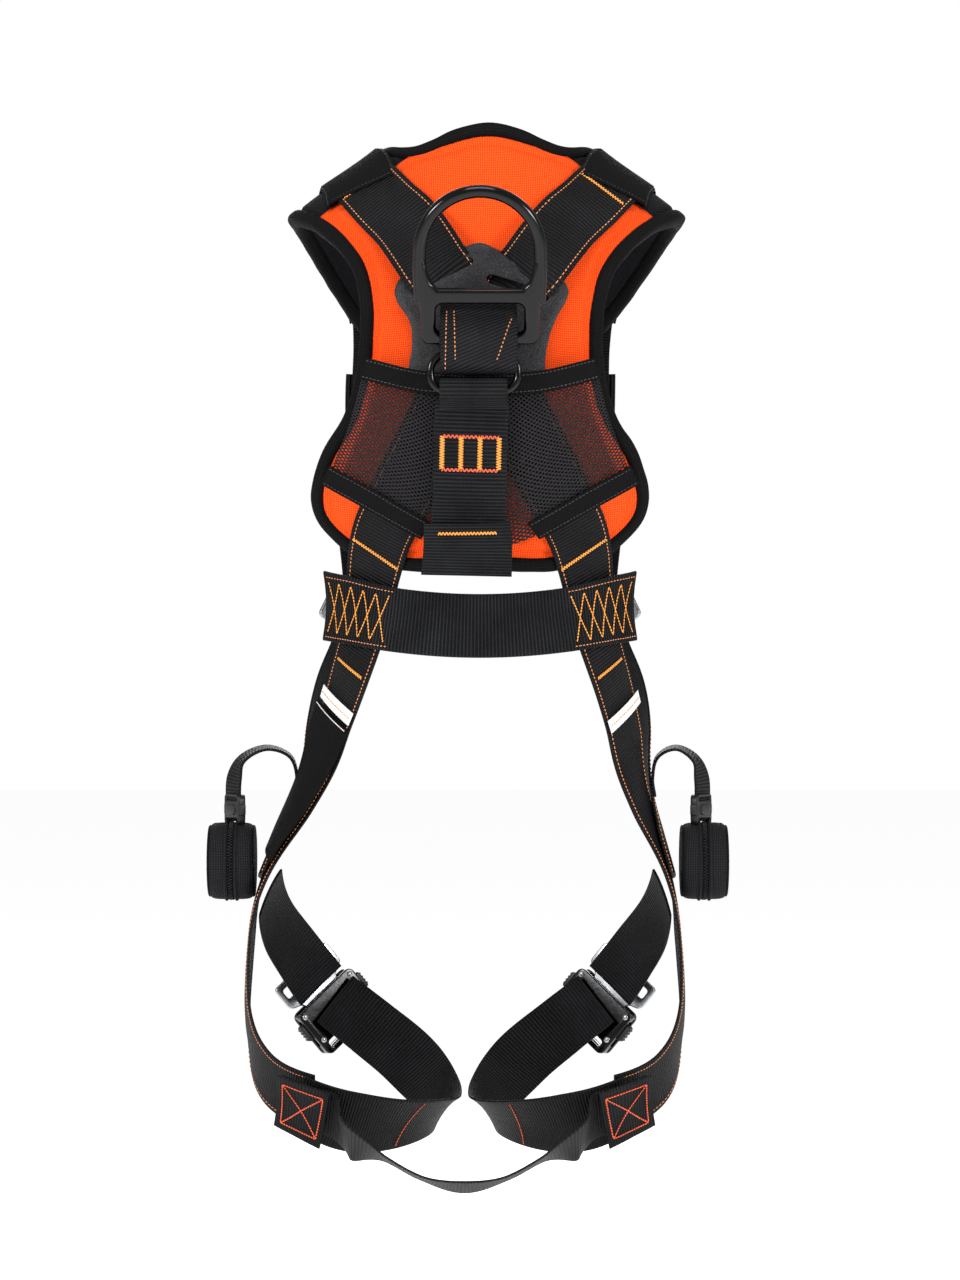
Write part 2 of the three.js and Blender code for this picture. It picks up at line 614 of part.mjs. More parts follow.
const LEG_BUCKLE = [104, 78, -278];
const LEG_HEADING = [0.62, -0.2, 0.78];
const LEG_WEB = [
  [118, -73, -343, 6.4], [98, -88, -356, 6.2], [73, -86, -362, 4.6], [44, -62, -360, 4], [30, -20, -350, 4],
  [32, 30, -340, 4], [48, 62, -322, 4], [72, 78, -304, 4], [98, 80, -284, 4],
];
const RISER = [[108, 76, -274, 4], [124, 62, -248, 4], [136, 36, -222, 3.4], [141, 14, -200, 3]];
for (const [side, turn, sign] of [['left', flip, -1], ['right', (points) => points, 1]]) {
  place(`leg_web_${side}`, strap(turn(LEG_WEB)), 'web');
  place(`leg_riser_${side}`, strap(turn(RISER)), 'web');
  place(`seat_patch_${side}`, strap(
    turn([[126, -62, -338, 15.4], [114, -79, -347, 15.4], [100, -91, -356, 15.4]]), { wide: 46, thick: 1.2 },
  ), 'web');
  const [x, y, z] = LEG_BUCKLE;
  const [dx, dy, dz] = LEG_HEADING;
  quickBuckle(`${side}_leg`, station(sign * x, y, z, 9, [sign * dx, dy, dz]));
}

// ---- torso adjusters ------------------------------------------------------------------------------------------------
// A frame with one window, and a bar that slides on it to grip the web.
const frameOutline = rounded(ADJUSTER.long, ADJUSTER.wide, 4);
frameOutline.holes.push(shiftedHole(ADJUSTER.long - 11, 47, 2, 0, 0));
for (const [side, sign] of [['left', -1], ['right', 1]]) {
  const spot = station(sign * 113, 79, 2, 9, [sign * 0.25, -0.45, -0.86]);
  const group = stationGroup(spot);
  place(`torso_adjuster_frame_${side}`, plateOf(frameOutline, ADJUSTER.thick), 'steel', group)
    .position.z = ADJUSTER.thick / 2;
  place(`torso_adjuster_bar_${side}`, plateOf(rounded(8, 52, 1.5), 3), 'steel', group)
    .position.z = ADJUSTER.thick + 2;
}

// ---- hip pouches ------------------------------------------------------------------------------------------------------
// Each pouch is two cups, mouth to mouth across the zip, with the relief strap rolled up inside.
function cup() {
  const { radius, half, wall } = POUCH;
  const profile = [
    [0, 0], [radius - 4, 0], [radius, 3], [radius, half], [radius - wall, half], [radius - wall, 3.6],
    [radius - 4.6, wall], [0, wall],
  ];
  return new THREE.LatheGeometry(profile.map(([r, y]) => new THREE.Vector2(r, y)), 24)
    .rotateZ(-Math.PI / 2);
}

const pouchWide = 2 * POUCH.half + POUCH.gap;
for (const [side, sign] of [['left', -1], ['right', 1]]) {
  const group = new THREE.Group();
  group.position.set(sign * 172 + sway(-175), -5, -175);
  harness.add(group);
  const shell = (name, end) => {
    const piece = place(name, cup(), 'black', group);
    piece.position.x = (end * pouchWide) / 2;
    piece.rotation.z = end > 0 ? Math.PI : 0;
  };
  shell(`pouch_outer_shell_${side}`, sign);
  shell(`pouch_inner_shell_${side}`, -sign);
  const slider = plateOf(rounded(7, 8, 2), 3.4);
  const pull = place(`zip_slider_${side}`, slider, 'blackMetal', group);
  const start = THREE.MathUtils.degToRad(42);
  pull.position.set(0, (POUCH.radius + 2.6) * Math.sin(start), (POUCH.radius + 2.6) * Math.cos(start));
  pull.rotation.x = -start;
  const coil = [];
  for (let i = 0; i <= 36; i += 1) {
    const turn = (2 * Math.PI * 3 * i) / 36;
    const radius = 6 + (16 * i) / 36;
    const facing = [0, Math.cos(turn), Math.sin(turn)];
    coil.push([0, radius * facing[1], radius * facing[2], facing]);
  }
  place(`relief_strap_${side}`, freeStrap(coil, { wide: pouchWide - 6 }), 'web', group);
  const hanger = [
    [150, -118, [0.9, 0, 0.45]], [158, -122, [0.5, 0, 0.87]], [166, -130, [0.7, 0, 0.7]], [170.5, -144, [1, 0, 0.1]],
  ];
  place(`pouch_hanger_${side}`, freeStrap(hanger.map(([x, z, [fx, , fz]]) => [
    sign * x + sway(-175), -5, z, [sign * fx, 0, fz],
  ]), { wide: 20, thick: 1.4 }), 'web');
}

export default harness;
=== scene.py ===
import json
import math
import random

import bmesh
import bpy
import numpy as np
from mathutils import Matrix, Vector
from mathutils.geometry import delaunay_2d_cdt


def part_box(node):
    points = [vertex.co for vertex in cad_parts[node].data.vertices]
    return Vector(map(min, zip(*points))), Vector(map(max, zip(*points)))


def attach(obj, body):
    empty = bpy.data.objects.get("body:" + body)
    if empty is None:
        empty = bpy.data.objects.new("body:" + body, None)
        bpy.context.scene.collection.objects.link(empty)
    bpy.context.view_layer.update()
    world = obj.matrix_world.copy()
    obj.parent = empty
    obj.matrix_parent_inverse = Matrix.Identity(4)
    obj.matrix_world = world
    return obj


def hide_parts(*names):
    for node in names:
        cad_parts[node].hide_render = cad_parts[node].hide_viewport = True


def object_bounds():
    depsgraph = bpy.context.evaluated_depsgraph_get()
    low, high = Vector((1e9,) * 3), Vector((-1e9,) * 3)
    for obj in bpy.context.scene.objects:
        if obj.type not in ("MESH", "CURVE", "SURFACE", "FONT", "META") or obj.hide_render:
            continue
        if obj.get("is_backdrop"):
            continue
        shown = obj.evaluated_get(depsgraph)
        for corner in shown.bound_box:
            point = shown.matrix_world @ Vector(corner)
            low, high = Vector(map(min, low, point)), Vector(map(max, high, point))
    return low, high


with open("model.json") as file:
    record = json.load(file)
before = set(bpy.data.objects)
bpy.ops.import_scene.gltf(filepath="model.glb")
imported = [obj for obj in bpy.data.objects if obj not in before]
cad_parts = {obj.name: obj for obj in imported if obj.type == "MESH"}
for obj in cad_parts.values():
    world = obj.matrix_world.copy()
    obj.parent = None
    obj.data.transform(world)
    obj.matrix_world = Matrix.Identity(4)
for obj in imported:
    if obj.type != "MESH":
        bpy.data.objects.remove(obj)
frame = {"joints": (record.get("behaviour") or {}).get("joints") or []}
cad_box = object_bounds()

for loaded in bpy.context.selected_objects:
    loaded.select_set(False)

# ---- The view and the light ----------------------------------------------------------------------
# The harness is seen from behind at the wearer's mid height, in a white studio with a soft light on
# each side, one from above and a weak one in front.
VIEW_DISTANCE = 2.5
BACK_PLANE = -0.110
VIEW_HEIGHT = 0.896
SENSOR = 36.0
FLOOR_Z = -0.75


def linear(hex_colour, alpha=1.0):
    """An sRGB hex colour as linear red, green, blue and alpha."""
    values = [int(hex_colour[i:i + 2], 16) / 255 for i in (1, 3, 5)]
    return [c / 12.92 if c <= 0.04045 else ((c + 0.055) / 1.055) ** 2.4 for c in values] + [alpha]


def add_node(tree, kind, inputs=None, **settings):
    """A shader node with its settings, and its inputs set to values or linked to sockets."""
    made = tree.nodes.new(kind)
    for key, value in settings.items():
        setattr(made, key, value)
    for key, value in (inputs or {}).items():
        if isinstance(value, bpy.types.NodeSocket):
            tree.links.new(value, made.inputs[key])
        else:
            made.inputs[key].default_value = value
    return made


def new_material(name):
    made = bpy.data.materials.new(name)
    made.use_nodes = True
    made.node_tree.nodes.clear()
    return made, made.node_tree


def finish_material(tree, inputs):
    """Ends a material in a Principled shader with these inputs."""
    shader = add_node(tree, "ShaderNodeBsdfPrincipled", inputs)
    add_node(tree, "ShaderNodeOutputMaterial", {"Surface": shader.outputs[0]})


bpy.ops.object.camera_add(
    location=(0, BACK_PLANE - VIEW_DISTANCE, -0.014), rotation=(math.pi / 2, 0, 0)
)
camera = bpy.context.object
camera.data.sensor_fit = "VERTICAL"
camera.data.sensor_height = SENSOR
camera.data.lens = SENSOR * VIEW_DISTANCE / VIEW_HEIGHT
camera.data.clip_end = 50
bpy.context.scene.camera = camera
bpy.context.scene.view_settings.view_transform = "Standard"

for place, size, watts in (
    ((-1.9, -1.9, 0.9), 0.6, 42),
    ((2.0, -1.7, 0.7), 0.6, 36),
    ((0.0, -1.3, 2.3), 1.2, 26),
    ((0.0, 2.6, 0.8), 1.8, 40),
):
    bpy.ops.object.light_add(type="AREA", location=place)
    lamp = bpy.context.object
    lamp.data.size = size
    lamp.data.energy = watts
    lamp.rotation_euler = (-Vector(place)).to_track_quat("-Z", "Y").to_euler()

world = bpy.data.worlds.new("white_studio")
bpy.context.scene.world = world
world.use_nodes = True
world.node_tree.nodes.clear()
# The backdrop is white behind the harness, but gives less light than it shows, as a lit backdrop does.
sight = add_node(world.node_tree, "ShaderNodeLightPath")
brightness = add_node(world.node_tree, "ShaderNodeMapRange", {
    "Value": sight.outputs["Is Camera Ray"], "To Min": 0.42, "To Max": 1.0})
backdrop = add_node(world.node_tree, "ShaderNodeBackground", {
    "Color": linear("#FFFFFF"), "Strength": brightness.outputs[0]})
add_node(world.node_tree, "ShaderNodeOutputWorld", {"Surface": backdrop.outputs[0]})

bpy.ops.mesh.primitive_plane_add(size=30, location=(0, 0, FLOOR_Z))
floor = bpy.context.object
floor.name = "studio_floor"
floor_material, floor_tree = new_material("pale_matt_floor")
finish_material(floor_tree, {
    "Base Color": linear("#FDFDFD"), "Roughness": 0.9, "Specular IOR Level": 0.0,
    "Emission Color": linear("#FFFFFF"), "Emission Strength": 0.56})
floor.data.materials.append(floor_material)
floor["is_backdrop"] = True

# ---- The shape that the harness is worn on -------------------------------------------------------
# Soft goods take the wearer's shape, so the wearer is a blend of rounded solids, in millimetres. It is
# never drawn: every web and pad is laid at its own height above it.
BLEND = 34
ROUNDS = [
    ((0, 0, 170), (176, 110, 168)), ((0, 0, -60), (118, 84, 220)),
    ((-62, 0, -235), (84, 90, 125)), ((62, 0, -235), (84, 90, 125)),
    ((-62, -40, -255), (78, 76, 90)), ((62, -40, -255), (78, 76, 90)),
]
LIMBS = [
    ((0, 0, 300), (0, 8, 430), 53),
    ((-150, -5, 196), (-42, -5, 260), 60), ((42, -5, 260), (150, -5, 196), 60),
    ((-92, 0, -480), (-91, 0, -300), 60), ((91, 0, -300), (92, 0, -480), 60),
]


def smooth_union(a, b):
    h = np.maximum(BLEND - np.abs(a - b), 0) / BLEND
    return np.minimum(a, b) - h * h * BLEND / 4


def limb_distance(p, limb):
    start, end = np.array(limb[0], float), np.array(limb[1], float)
    along = end - start
    share = np.clip((p - start) @ along / (along @ along), 0, 1)
    return np.linalg.norm(p - start - share[..., None] * along, axis=-1) - limb[2]


def round_distance(p, solid):
    q = (p - np.array(solid[0], float)) / np.array(solid[1], float)
    near = np.linalg.norm(q, axis=-1)
    slope = np.linalg.norm(q / np.array(solid[1], float), axis=-1)
    return near * (near - 1) / np.maximum(slope, 1e-9)


def body_distance(p):
    nearest = limb_distance(p, LIMBS[0])
    for limb in LIMBS[1:3]:
        nearest = smooth_union(nearest, limb_distance(p, limb))
    for solid in ROUNDS:
        nearest = smooth_union(nearest, round_distance(p, solid))
    for limb in LIMBS[3:]:
        nearest = smooth_union(nearest, limb_distance(p, limb))
    return nearest


def outward(p):
    """The direction away from the wearer at each point."""
    slope = np.stack([
        body_distance(p + step) - body_distance(p - step) for step in 0.5 * np.eye(3)
    ], axis=-1)
    return slope / np.linalg.norm(slope, axis=-1, keepdims=True)


def settle(p, lift):
    """The points moved to that height above the wearer."""
    p = np.array(p, float)
    for _ in range(7):
        p = p + outward(p) * (lift - body_distance(p))[..., None]
    return p


def ease(value, start, end):
    share = np.clip((value - start) / (end - start), 0, 1)
    return share * share * (3 - 2 * share)


def swayed(p):
    """The harness hangs a little to one side below the waist, and to the other at the neck."""
    shift = 6 * ease(p[..., 2], 150, 350) - 11 * ease(-p[..., 2], 40, 230)
    return p + shift[..., None] * np.array([1.0, 0, 0])


def flip(points):
    return [(-p[0], *p[1:]) for p in points]


# ---- Webbing -------------------------------------------------------------------------------------
# Every strap is woven polyester webbing, 45 mm wide and 1.6 mm thick, with ribs across it and a thin
# selvedge. It is made as a swept band whose section has rounded edges.
WEB_WIDE = 45
WEB_THICK = 1.6
RIB_PITCH = 2.5
ACROSS = np.array([-0.5, -0.488, -0.44, -0.3, -0.15, 0, 0.15, 0.3, 0.44, 0.488, 0.5])
EDGE_SHARE = np.array([0.28, 0.06, 0, 0, 0, 0, 0, 0, 0, 0.06, 0.28])


def smooth_line(points, step, loop=False):
    """Points at even steps along a centripetal curve through these points, and their distances."""
    p = np.array(points, float)
    if loop:
        p = np.vstack([p[-1], p, p[0], p[1]])
    else:
        p = np.vstack([2 * p[0] - p[1], p, 2 * p[-1] - p[-2]])
    pieces = []
    for a, b, c, d in zip(p[:-3], p[1:-2], p[2:-1], p[3:]):
        gaps = [max(np.linalg.norm(v[:3] - u[:3]), 1e-6) ** 0.5 for u, v in ((a, b), (b, c), (c, d))]
        t0, t1 = 0, gaps[0]
        t2, t3 = t1 + gaps[1], t1 + gaps[1] + gaps[2]
        t = np.linspace(t1, t2, 24, endpoint=False)[:, None]
        a1 = (t1 - t) / (t1 - t0) * a + (t - t0) / (t1 - t0) * b
        a2 = (t2 - t) / (t2 - t1) * b + (t - t1) / (t2 - t1) * c
        a3 = (t3 - t) / (t3 - t2) * c + (t - t2) / (t3 - t2) * d
        b1 = (t2 - t) / (t2 - t0) * a1 + (t - t0) / (t2 - t0) * a2
        b2 = (t3 - t) / (t3 - t1) * a2 + (t - t1) / (t3 - t1) * a3
        pieces.append((t2 - t) / (t2 - t1) * b1 + (t - t1) / (t2 - t1) * b2)
    dense = np.vstack(pieces + [p[-2][None]])
    run = np.concatenate([[0], np.cumsum(np.linalg.norm(np.diff(dense[:, :3], axis=0), axis=1))])
    count = max(int(round(run[-1] / step)), 2)
    at = np.linspace(0, run[-1], count + 1)
    if loop:
        at = at[:-1]
    return np.stack([np.interp(at, run, dense[:, k]) for k in range(dense.shape[1])], axis=1), at


def unit(v):
    return v / np.maximum(np.linalg.norm(v, axis=-1, keepdims=True), 1e-9)


def tangents(line, loop=False):
    if loop:
        return unit(np.roll(line, -1, axis=0) - np.roll(line, 1, axis=0))
    return unit(np.gradient(line, axis=0))


def band_on_wearer(route, wide=WEB_WIDE, step=3, across=ACROSS):
    """A strap's under face laid on the wearer. Each point of the route ends with its height."""
    line, run = smooth_line(route, step)
    centre, lift = line[:, :3], line[:, 3]
    side = unit(np.cross(outward(centre), tangents(centre)))
    width = np.full(len(run), float(wide))
    grid = centre[:, None] + side[:, None] * (width[:, None] * across)[..., None]
    under = settle(grid, np.repeat(lift[:, None], len(across), axis=1))
    return {"under": swayed(under), "normal": outward(under), "run": run, "wide": width, "across": across}


def free_band(route, wide=WEB_WIDE, step=3):
    """A strap that hangs clear: each point of the route is x, y, z and its facing."""
    line, run = smooth_line(route, step)
    centre, facing = line[:, :3], unit(line[:, 3:])
    side = unit(np.cross(facing, tangents(centre)))
    facing = unit(np.cross(tangents(centre), side))
    width = np.full(len(run), float(wide))
    under = centre[:, None] + side[:, None] * (width[:, None] * ACROSS)[..., None]
    normal = np.repeat(facing[:, None], len(ACROSS), axis=1)
    return {"under": under, "normal": normal, "run": run, "wide": width, "across": ACROSS}


def top_of(band, thick):
    """The upper face of a band, with its edges rounded down."""
    share = EDGE_SHARE if len(band["across"]) == len(EDGE_SHARE) else np.zeros(len(band["across"]))
    return band["under"] + band["normal"] * (thick * (1 - share))[None, :, None]


def mesh_object(name, corners, faces, uvs=None):
    """A mesh object from corners in millimetres. uvs gives one pair for each corner."""
    data = bpy.data.meshes.new(name)
    data.from_pydata((np.asarray(corners) / 1000).tolist(), [], faces)
    if uvs is not None:
        layer = data.uv_layers.new(name="cloth")
        loops = np.zeros(len(data.loops), int)
        data.loops.foreach_get("vertex_index", loops)
        layer.data.foreach_set("uv", np.asarray(uvs, float)[loops].ravel())
    data.update()
    made = bpy.data.objects.new(name, data)
    bpy.context.scene.collection.objects.link(made)
    data.shade_smooth()
    return made


def shell_object(name, lower, upper, run, across_mm):
    """A closed thin shell between two grids of points."""
    rows, columns = lower.shape[:2]
    over, last, side = rows * columns, (rows - 1) * columns, columns - 1
    i, j = (n.ravel() for n in np.meshgrid(np.arange(rows - 1), np.arange(side), indexing="ij"))
    k = i + 1
    low = np.stack([i * columns + j, k * columns + j, k * columns + j + 1, i * columns + j + 1], 1)
    r, c = np.arange(rows - 1) * columns, np.arange(side)
    q = r + columns
    quads = np.concatenate([
        low, over + low[:, ::-1],
        np.stack([r, over + r, over + q, q], 1),
        np.stack([r + side, q + side, over + q + side, over + r + side], 1),
        np.stack([c, c + 1, over + c + 1, over + c], 1),
        np.stack([last + c, over + last + c, over + last + c + 1, last + c + 1], 1),
    ])
    corners = np.concatenate([lower.reshape(-1, 3), upper.reshape(-1, 3)])
    u = np.repeat(np.asarray(run)[:, None], columns, axis=1)
    uvs = np.stack([u, np.broadcast_to(across_mm, (rows, columns))], -1).reshape(-1, 2)
    w, x, y, z = (corners[quads[:, n]] for n in range(4))
    if np.einsum("ij,ij->i", w, np.cross(x, y) + np.cross(y, z)).sum() < 0:
        quads = quads[:, ::-1]
    return mesh_object(name, corners, quads.tolist(), np.concatenate([uvs, uvs]))


def dress(piece, material, body="harness_body"):
    """Gives a piece its material and slot, and the body that it rides on."""
    piece.data.materials.append(material)
    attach(piece, body)
    return piece


def make_strap(name, band, thick=WEB_THICK, material=None, ribs=0.0):
    """The strap's own mesh. ribs raises real ribs across a coarse web."""
    top = top_of(band, thick)
    if ribs:
        wave = ribs * np.cos(2 * math.pi * band["run"] / RIB_PITCH)
        inner = 1 - EDGE_SHARE / EDGE_SHARE.max()
        top = top + band["normal"] * (wave[:, None] * inner)[..., None]
    across_mm = band["wide"][:, None] * band["across"]
    piece = shell_object(name, band["under"], top, band["run"], across_mm)
    return dress(piece, material or webbing_material)


def webbing(name, colour, painted_highlight, pitch, strength, slant=0.0):
    """Polyester webbing: round filling ribs run across the strap, and fine warp ends run along it. The rib
    crests and warp ends are painted lighter than the black webbing as a painted highlight, over a bump.
    Semi-matt."""
    made, tree = new_material(name)
    uv = add_node(tree, "ShaderNodeUVMap", uv_map="cloth")
    split = add_node(tree, "ShaderNodeSeparateXYZ", {0: uv.outputs[0]})
    leaning = add_node(tree, "ShaderNodeMath", {
        0: split.outputs[1], 1: slant, 2: split.outputs[0]}, operation="MULTIPLY_ADD")
    turns = add_node(tree, "ShaderNodeMath", {
        0: leaning.outputs[0], 1: 2 * math.pi / pitch}, operation="MULTIPLY")
    rib = add_node(tree, "ShaderNodeMath", {0: turns.outputs[0]}, operation="COSINE")
    ends = add_node(tree, "ShaderNodeMath", {
        0: split.outputs[1], 1: 2 * math.pi / 1.3}, operation="MULTIPLY")
    warp = add_node(tree, "ShaderNodeMath", {0: ends.outputs[0]}, operation="SINE")
    height = add_node(tree, "ShaderNodeMath", {
        0: warp.outputs[0], 1: 0.35, 2: rib.outputs[0]}, operation="MULTIPLY_ADD")
    share = add_node(tree, "ShaderNodeMapRange", {
        "Value": height.outputs[0], "From Min": -1.2, "From Max": 1.35})
    place = add_node(tree, "ShaderNodeTexCoord")
    uneven = add_node(tree, "ShaderNodeTexNoise", {
        "Vector": place.outputs["Object"], "Scale": 38.0, "Detail": 3.0})
    rib_highlight_mask = add_node(tree, "ShaderNodeMath", {
        0: share.outputs[0], 1: uneven.outputs[0]}, operation="MULTIPLY")
    # Painted highlight: the colour goes from the black of the webbing to a lighter tone on the rib crests and
    # warp ends.
    rib_tone_with_painted_highlight = add_node(tree, "ShaderNodeMix", {
        "Factor": rib_highlight_mask.outputs[0], "A": linear(colour), "B": linear(painted_highlight)}, data_type="RGBA")
    bump = add_node(tree, "ShaderNodeBump", {
        "Strength": strength, "Distance": 0.0006, "Height": height.outputs[0]})
    finish_material(tree, {
        "Base Color": rib_tone_with_painted_highlight.outputs[2], "Roughness": 0.55, "Normal": bump.outputs[0],
        "Specular IOR Level": 0.12})
    return made


# The second colour of each webbing is the painted highlight on its ribs.
webbing_material = webbing("polyester_webbing_black", "#010102", "#29292C", RIB_PITCH, 0.55)
coarse_webbing_material = webbing("coarse_ribbed_webbing_black", "#010102", "#323336", RIB_PITCH, 0.5)
slanting_webbing_material = webbing(
    "slanting_ribbed_webbing_black", "#010102", "#303034", RIB_PITCH, 0.6, 0.42)


# ---- Stitching -----------------------------------------------------------------------------------
# Bonded polyester thread in two oranges, in short raised stitches: dashed lines along the selvedges,
# dense bar tacks, zigzags and box stitches.
STITCH_PITCH = 3.0
STITCH_LONG = 2.1
EDGE_INSET = 3.4


def surface_points(band, thick, s, t, up=0.0):
    """Points on a band's upper face at distance s along it and t from its middle."""
    s, t = np.atleast_1d(s).astype(float), np.atleast_1d(t).astype(float)
    top = band["under"] + band["normal"] * thick
    i = np.clip(np.searchsorted(band["run"], s) - 1, 0, len(band["run"]) - 2)
    fi = (s - band["run"][i]) / (band["run"][i + 1] - band["run"][i])
    share = t / band["wide"][i]
    j = np.clip(np.searchsorted(band["across"], share) - 1, 0, len(band["across"]) - 2)
    fj = (share - band["across"][j]) / (band["across"][j + 1] - band["across"][j])

    def pick(grid):
        low = grid[i, j] * (1 - fj)[:, None] + grid[i, j + 1] * fj[:, None]
        high = grid[i + 1, j] * (1 - fj)[:, None] + grid[i + 1, j + 1] * fj[:, None]
        return low * (1 - fi)[:, None] + high * fi[:, None]

    normal = unit(pick(band["normal"]))
    return pick(top) + normal * up, normal


def thread_object(name, starts, ends, normals, width, height, material):
    """One mesh of short raised stitches, each a slim pointed lens of twelve faces."""
    along = ends - starts
    side = unit(np.cross(normals, along))
    rings = []
    for share in (0.18, 0.82):
        middle = starts + along * share
        rings.append([
            middle + side * width / 2, middle + normals * height,
            middle - side * width / 2, middle - normals * height * 0.3,
        ])
    count = len(starts)
    corners = np.stack([starts, *rings[0], *rings[1], ends], axis=1)
    pattern = [(0, 1, 2), (0, 2, 3), (0, 3, 4), (0, 4, 1)]
    pattern += [(1, 5, 6, 2), (2, 6, 7, 3), (3, 7, 8, 4), (4, 8, 5, 1)]
    pattern += [(9, 6, 5), (9, 7, 6), (9, 8, 7), (9, 5, 8)]
    faces = [tuple(10 * n + k for k in face) for n in range(count) for face in pattern]
    return dress(mesh_object(name, corners.reshape(-1, 3), faces), material)


def sew(name, rows, width, height, material):
    """One mesh from several rows of stitches."""
    joined = [np.concatenate([row[k] for row in rows]) for k in range(3)]
    thread_object(name, *joined, width, height, material)


def stitched_path(band, thick, path, pitch=STITCH_PITCH, long=STITCH_LONG):
    """Stitches along a path of (s, t) points on a band."""
    path = np.array(path, float)
    run = np.concatenate([[0], np.cumsum(np.linalg.norm(np.diff(path, axis=0), axis=1))])
    begin = np.arange(0.3, run[-1] - long * 0.6, pitch)
    finish = np.minimum(begin + long, run[-1])
    points = []
    for at in (begin, finish):
        s, t = np.interp(at, run, path[:, 0]), np.interp(at, run, path[:, 1])
        points.append(surface_points(band, thick, s, t, 0.15))
    return points[0][0], points[1][0], points[0][1]


def edge_stitches(name, band):
    """The dashed lines along both selvedges."""
    half = band["wide"][0] / 2 - EDGE_INSET
    sew(name, [stitched_path(band, WEB_THICK, [(0, t), (band["run"][-1], t)]) for t in (-half, half)],
        0.75, 0.42, pale_thread)


def tack(name, band, thick, rows, wide=2.7, pitch=1.05, material=None):
    """Dense zigzags of thread on a strap, each from one (s, t) place to another."""
    pieces = []
    for start, end in rows:
        start, end = np.array(start, float), np.array(end, float)
        long = np.linalg.norm(end - start)
        along = (end - start) / long
        cross = np.array([-along[1], along[0]])
        n = np.arange(int(long / pitch) + 1)
        path = start + n[:, None] * pitch * along + np.where(n % 2, 0.5, -0.5)[:, None] * wide * cross
        a, normal = surface_points(band, thick, path[:-1, 0], path[:-1, 1], 0.2)
        b, _ = surface_points(band, thick, path[1:, 0], path[1:, 1], 0.2)
        pieces.append((a, b, normal))
    sew(name, pieces, 1.0, 0.55, material or bright_thread)


def seam(name, band, thick, paths, material=None, pitch=2.6, long=2.3, fat=0.9):
    """Lines of plain stitches on a strap, along paths of (s, t) places."""
    sew(name, [stitched_path(band, thick, path, pitch, long) for path in paths], fat, 0.5,
        material or bright_thread)


def thread_material(name, colour, dark):
    """Bonded polyester thread, plied: smooth strands with a dull shine and darker gaps."""
    made, tree = new_material(name)
    place = add_node(tree, "ShaderNodeTexCoord")
    noise = add_node(tree, "ShaderNodeTexNoise", {"Vector": place.outputs["Object"], "Scale": 900.0})
    mix = add_node(tree, "ShaderNodeMix", {
        "Factor": noise.outputs[0], "A": linear(dark), "B": linear(colour)},
        data_type="RGBA")
    finish_material(tree, {"Base Color": mix.outputs[2], "Roughness": 0.5, "Sheen Weight": 0.2})
    return made


pale_thread = thread_material("bonded_thread_pale_orange", "#F5A466", "#D9783A")
bright_thread = thread_material("bonded_thread_bright_orange", "#FFB43C", "#F58A1E")
red_thread = thread_material("bonded_thread_red_orange", "#FF6A2A", "#E8400F")
black_thread = thread_material("bonded_thread_black", "#1C1C1E", "#0B0B0C")
white_thread = thread_material("bonded_thread_white", "#F2F2F0", "#C9C9C6")

# ---- Back pad ------------------------------------------------------------------------------------
# A foam pad in woven orange cloth, shaped like a yoke. It is cut from flat sheet, crowned by its foam,
# and its edge is pinched into a folded black binding; the one line of stitches that sews it is not drawn.
HALF_EDGE = [
    (0, -92, 40), (55, -92, 38), (96, -82, 46), (114, -74, 66), (117, -76, 84), (106, -86, 116),
    (90, -98, 142), (82, -104, 170), (80, -104, 200), (82, -100, 226), (88, -94, 247), (101, -80, 266),
    (120, -52, 282), (128, -38, 286), (135, -8, 288), (129, 35, 280), (115, 70, 258), (104, 94, 240),
    (88, 104, 222), (66, 106, 224), (50, 102, 244), (48, 86, 276), (56, 57, 300), (67, 16, 314),
    (52, -40, 328), (28, -57, 345), (0, -62, 351),
]
RIDGE = [(120, -52, 282), (105, -46, 289), (80, -46, 304), (52, -40, 328), (28, -57, 345), (0, -62, 351)]
PAD_MIDDLE = np.array([0, -100, 180.0])
PAD_INSET, NECK_INSET = 4.0, 6.0
COVER_TOP = 10.8
BINDING_WIDE, BINDING_HALF_DEEP = 10.5, 5.9


def inset_line(points, count, inside, inset):
    """Evenly spaced points along an edge, moved in from it."""
    line, run = smooth_line(points, 1.0)
    at = np.linspace(0, run[-1], count)
    line = np.stack([np.interp(at, run, line[:, k]) for k in range(3)], axis=1)
    line = settle(line, np.zeros(count))
    side = unit(np.cross(outward(line), tangents(line)))
    sign = np.sign(np.einsum("ij,ij->i", side, np.asarray(inside) - line))
    return line + side * (sign * inset)[:, None]


def pull_ends(line, start, end):
    share = np.linspace(0, 1, len(line))[:, None]
    return line + (start - line[0]) * (1 - share) ** 6 + (end - line[-1]) * share ** 6


def four_sided(bottom, top, left, right):
    """A patch of points between four edges."""
    u = np.linspace(0, 1, len(bottom))[None, :, None]
    v = np.linspace(0, 1, len(left))[:, None, None]
    flat = (1 - v) * bottom[None] + v * top[None] + (1 - u) * left[:, None] + u * right[:, None]
    ends = (1 - u) * (1 - v) * bottom[0] + u * (1 - v) * bottom[-1] + (1 - u) * v * top[0] + u * v * top[-1]
    return flat - ends


def pad_patch(rows, columns):
    right = inset_line(HALF_EDGE[2:13], rows, PAD_MIDDLE, PAD_INSET)
    left = inset_line(flip(HALF_EDGE[2:13]), rows, PAD_MIDDLE, PAD_INSET)
    bottom_edge = flip(HALF_EDGE[1:3])[::-1] + HALF_EDGE[:3]
    ridge_edge = flip(RIDGE) + RIDGE[::-1][1:]
    low = pull_ends(inset_line(bottom_edge, columns, PAD_MIDDLE, PAD_INSET), left[0], right[0])
    high = pull_ends(inset_line(ridge_edge, columns, PAD_MIDDLE, NECK_INSET), left[-1], right[-1])
    return four_sided(low, high, left, right)


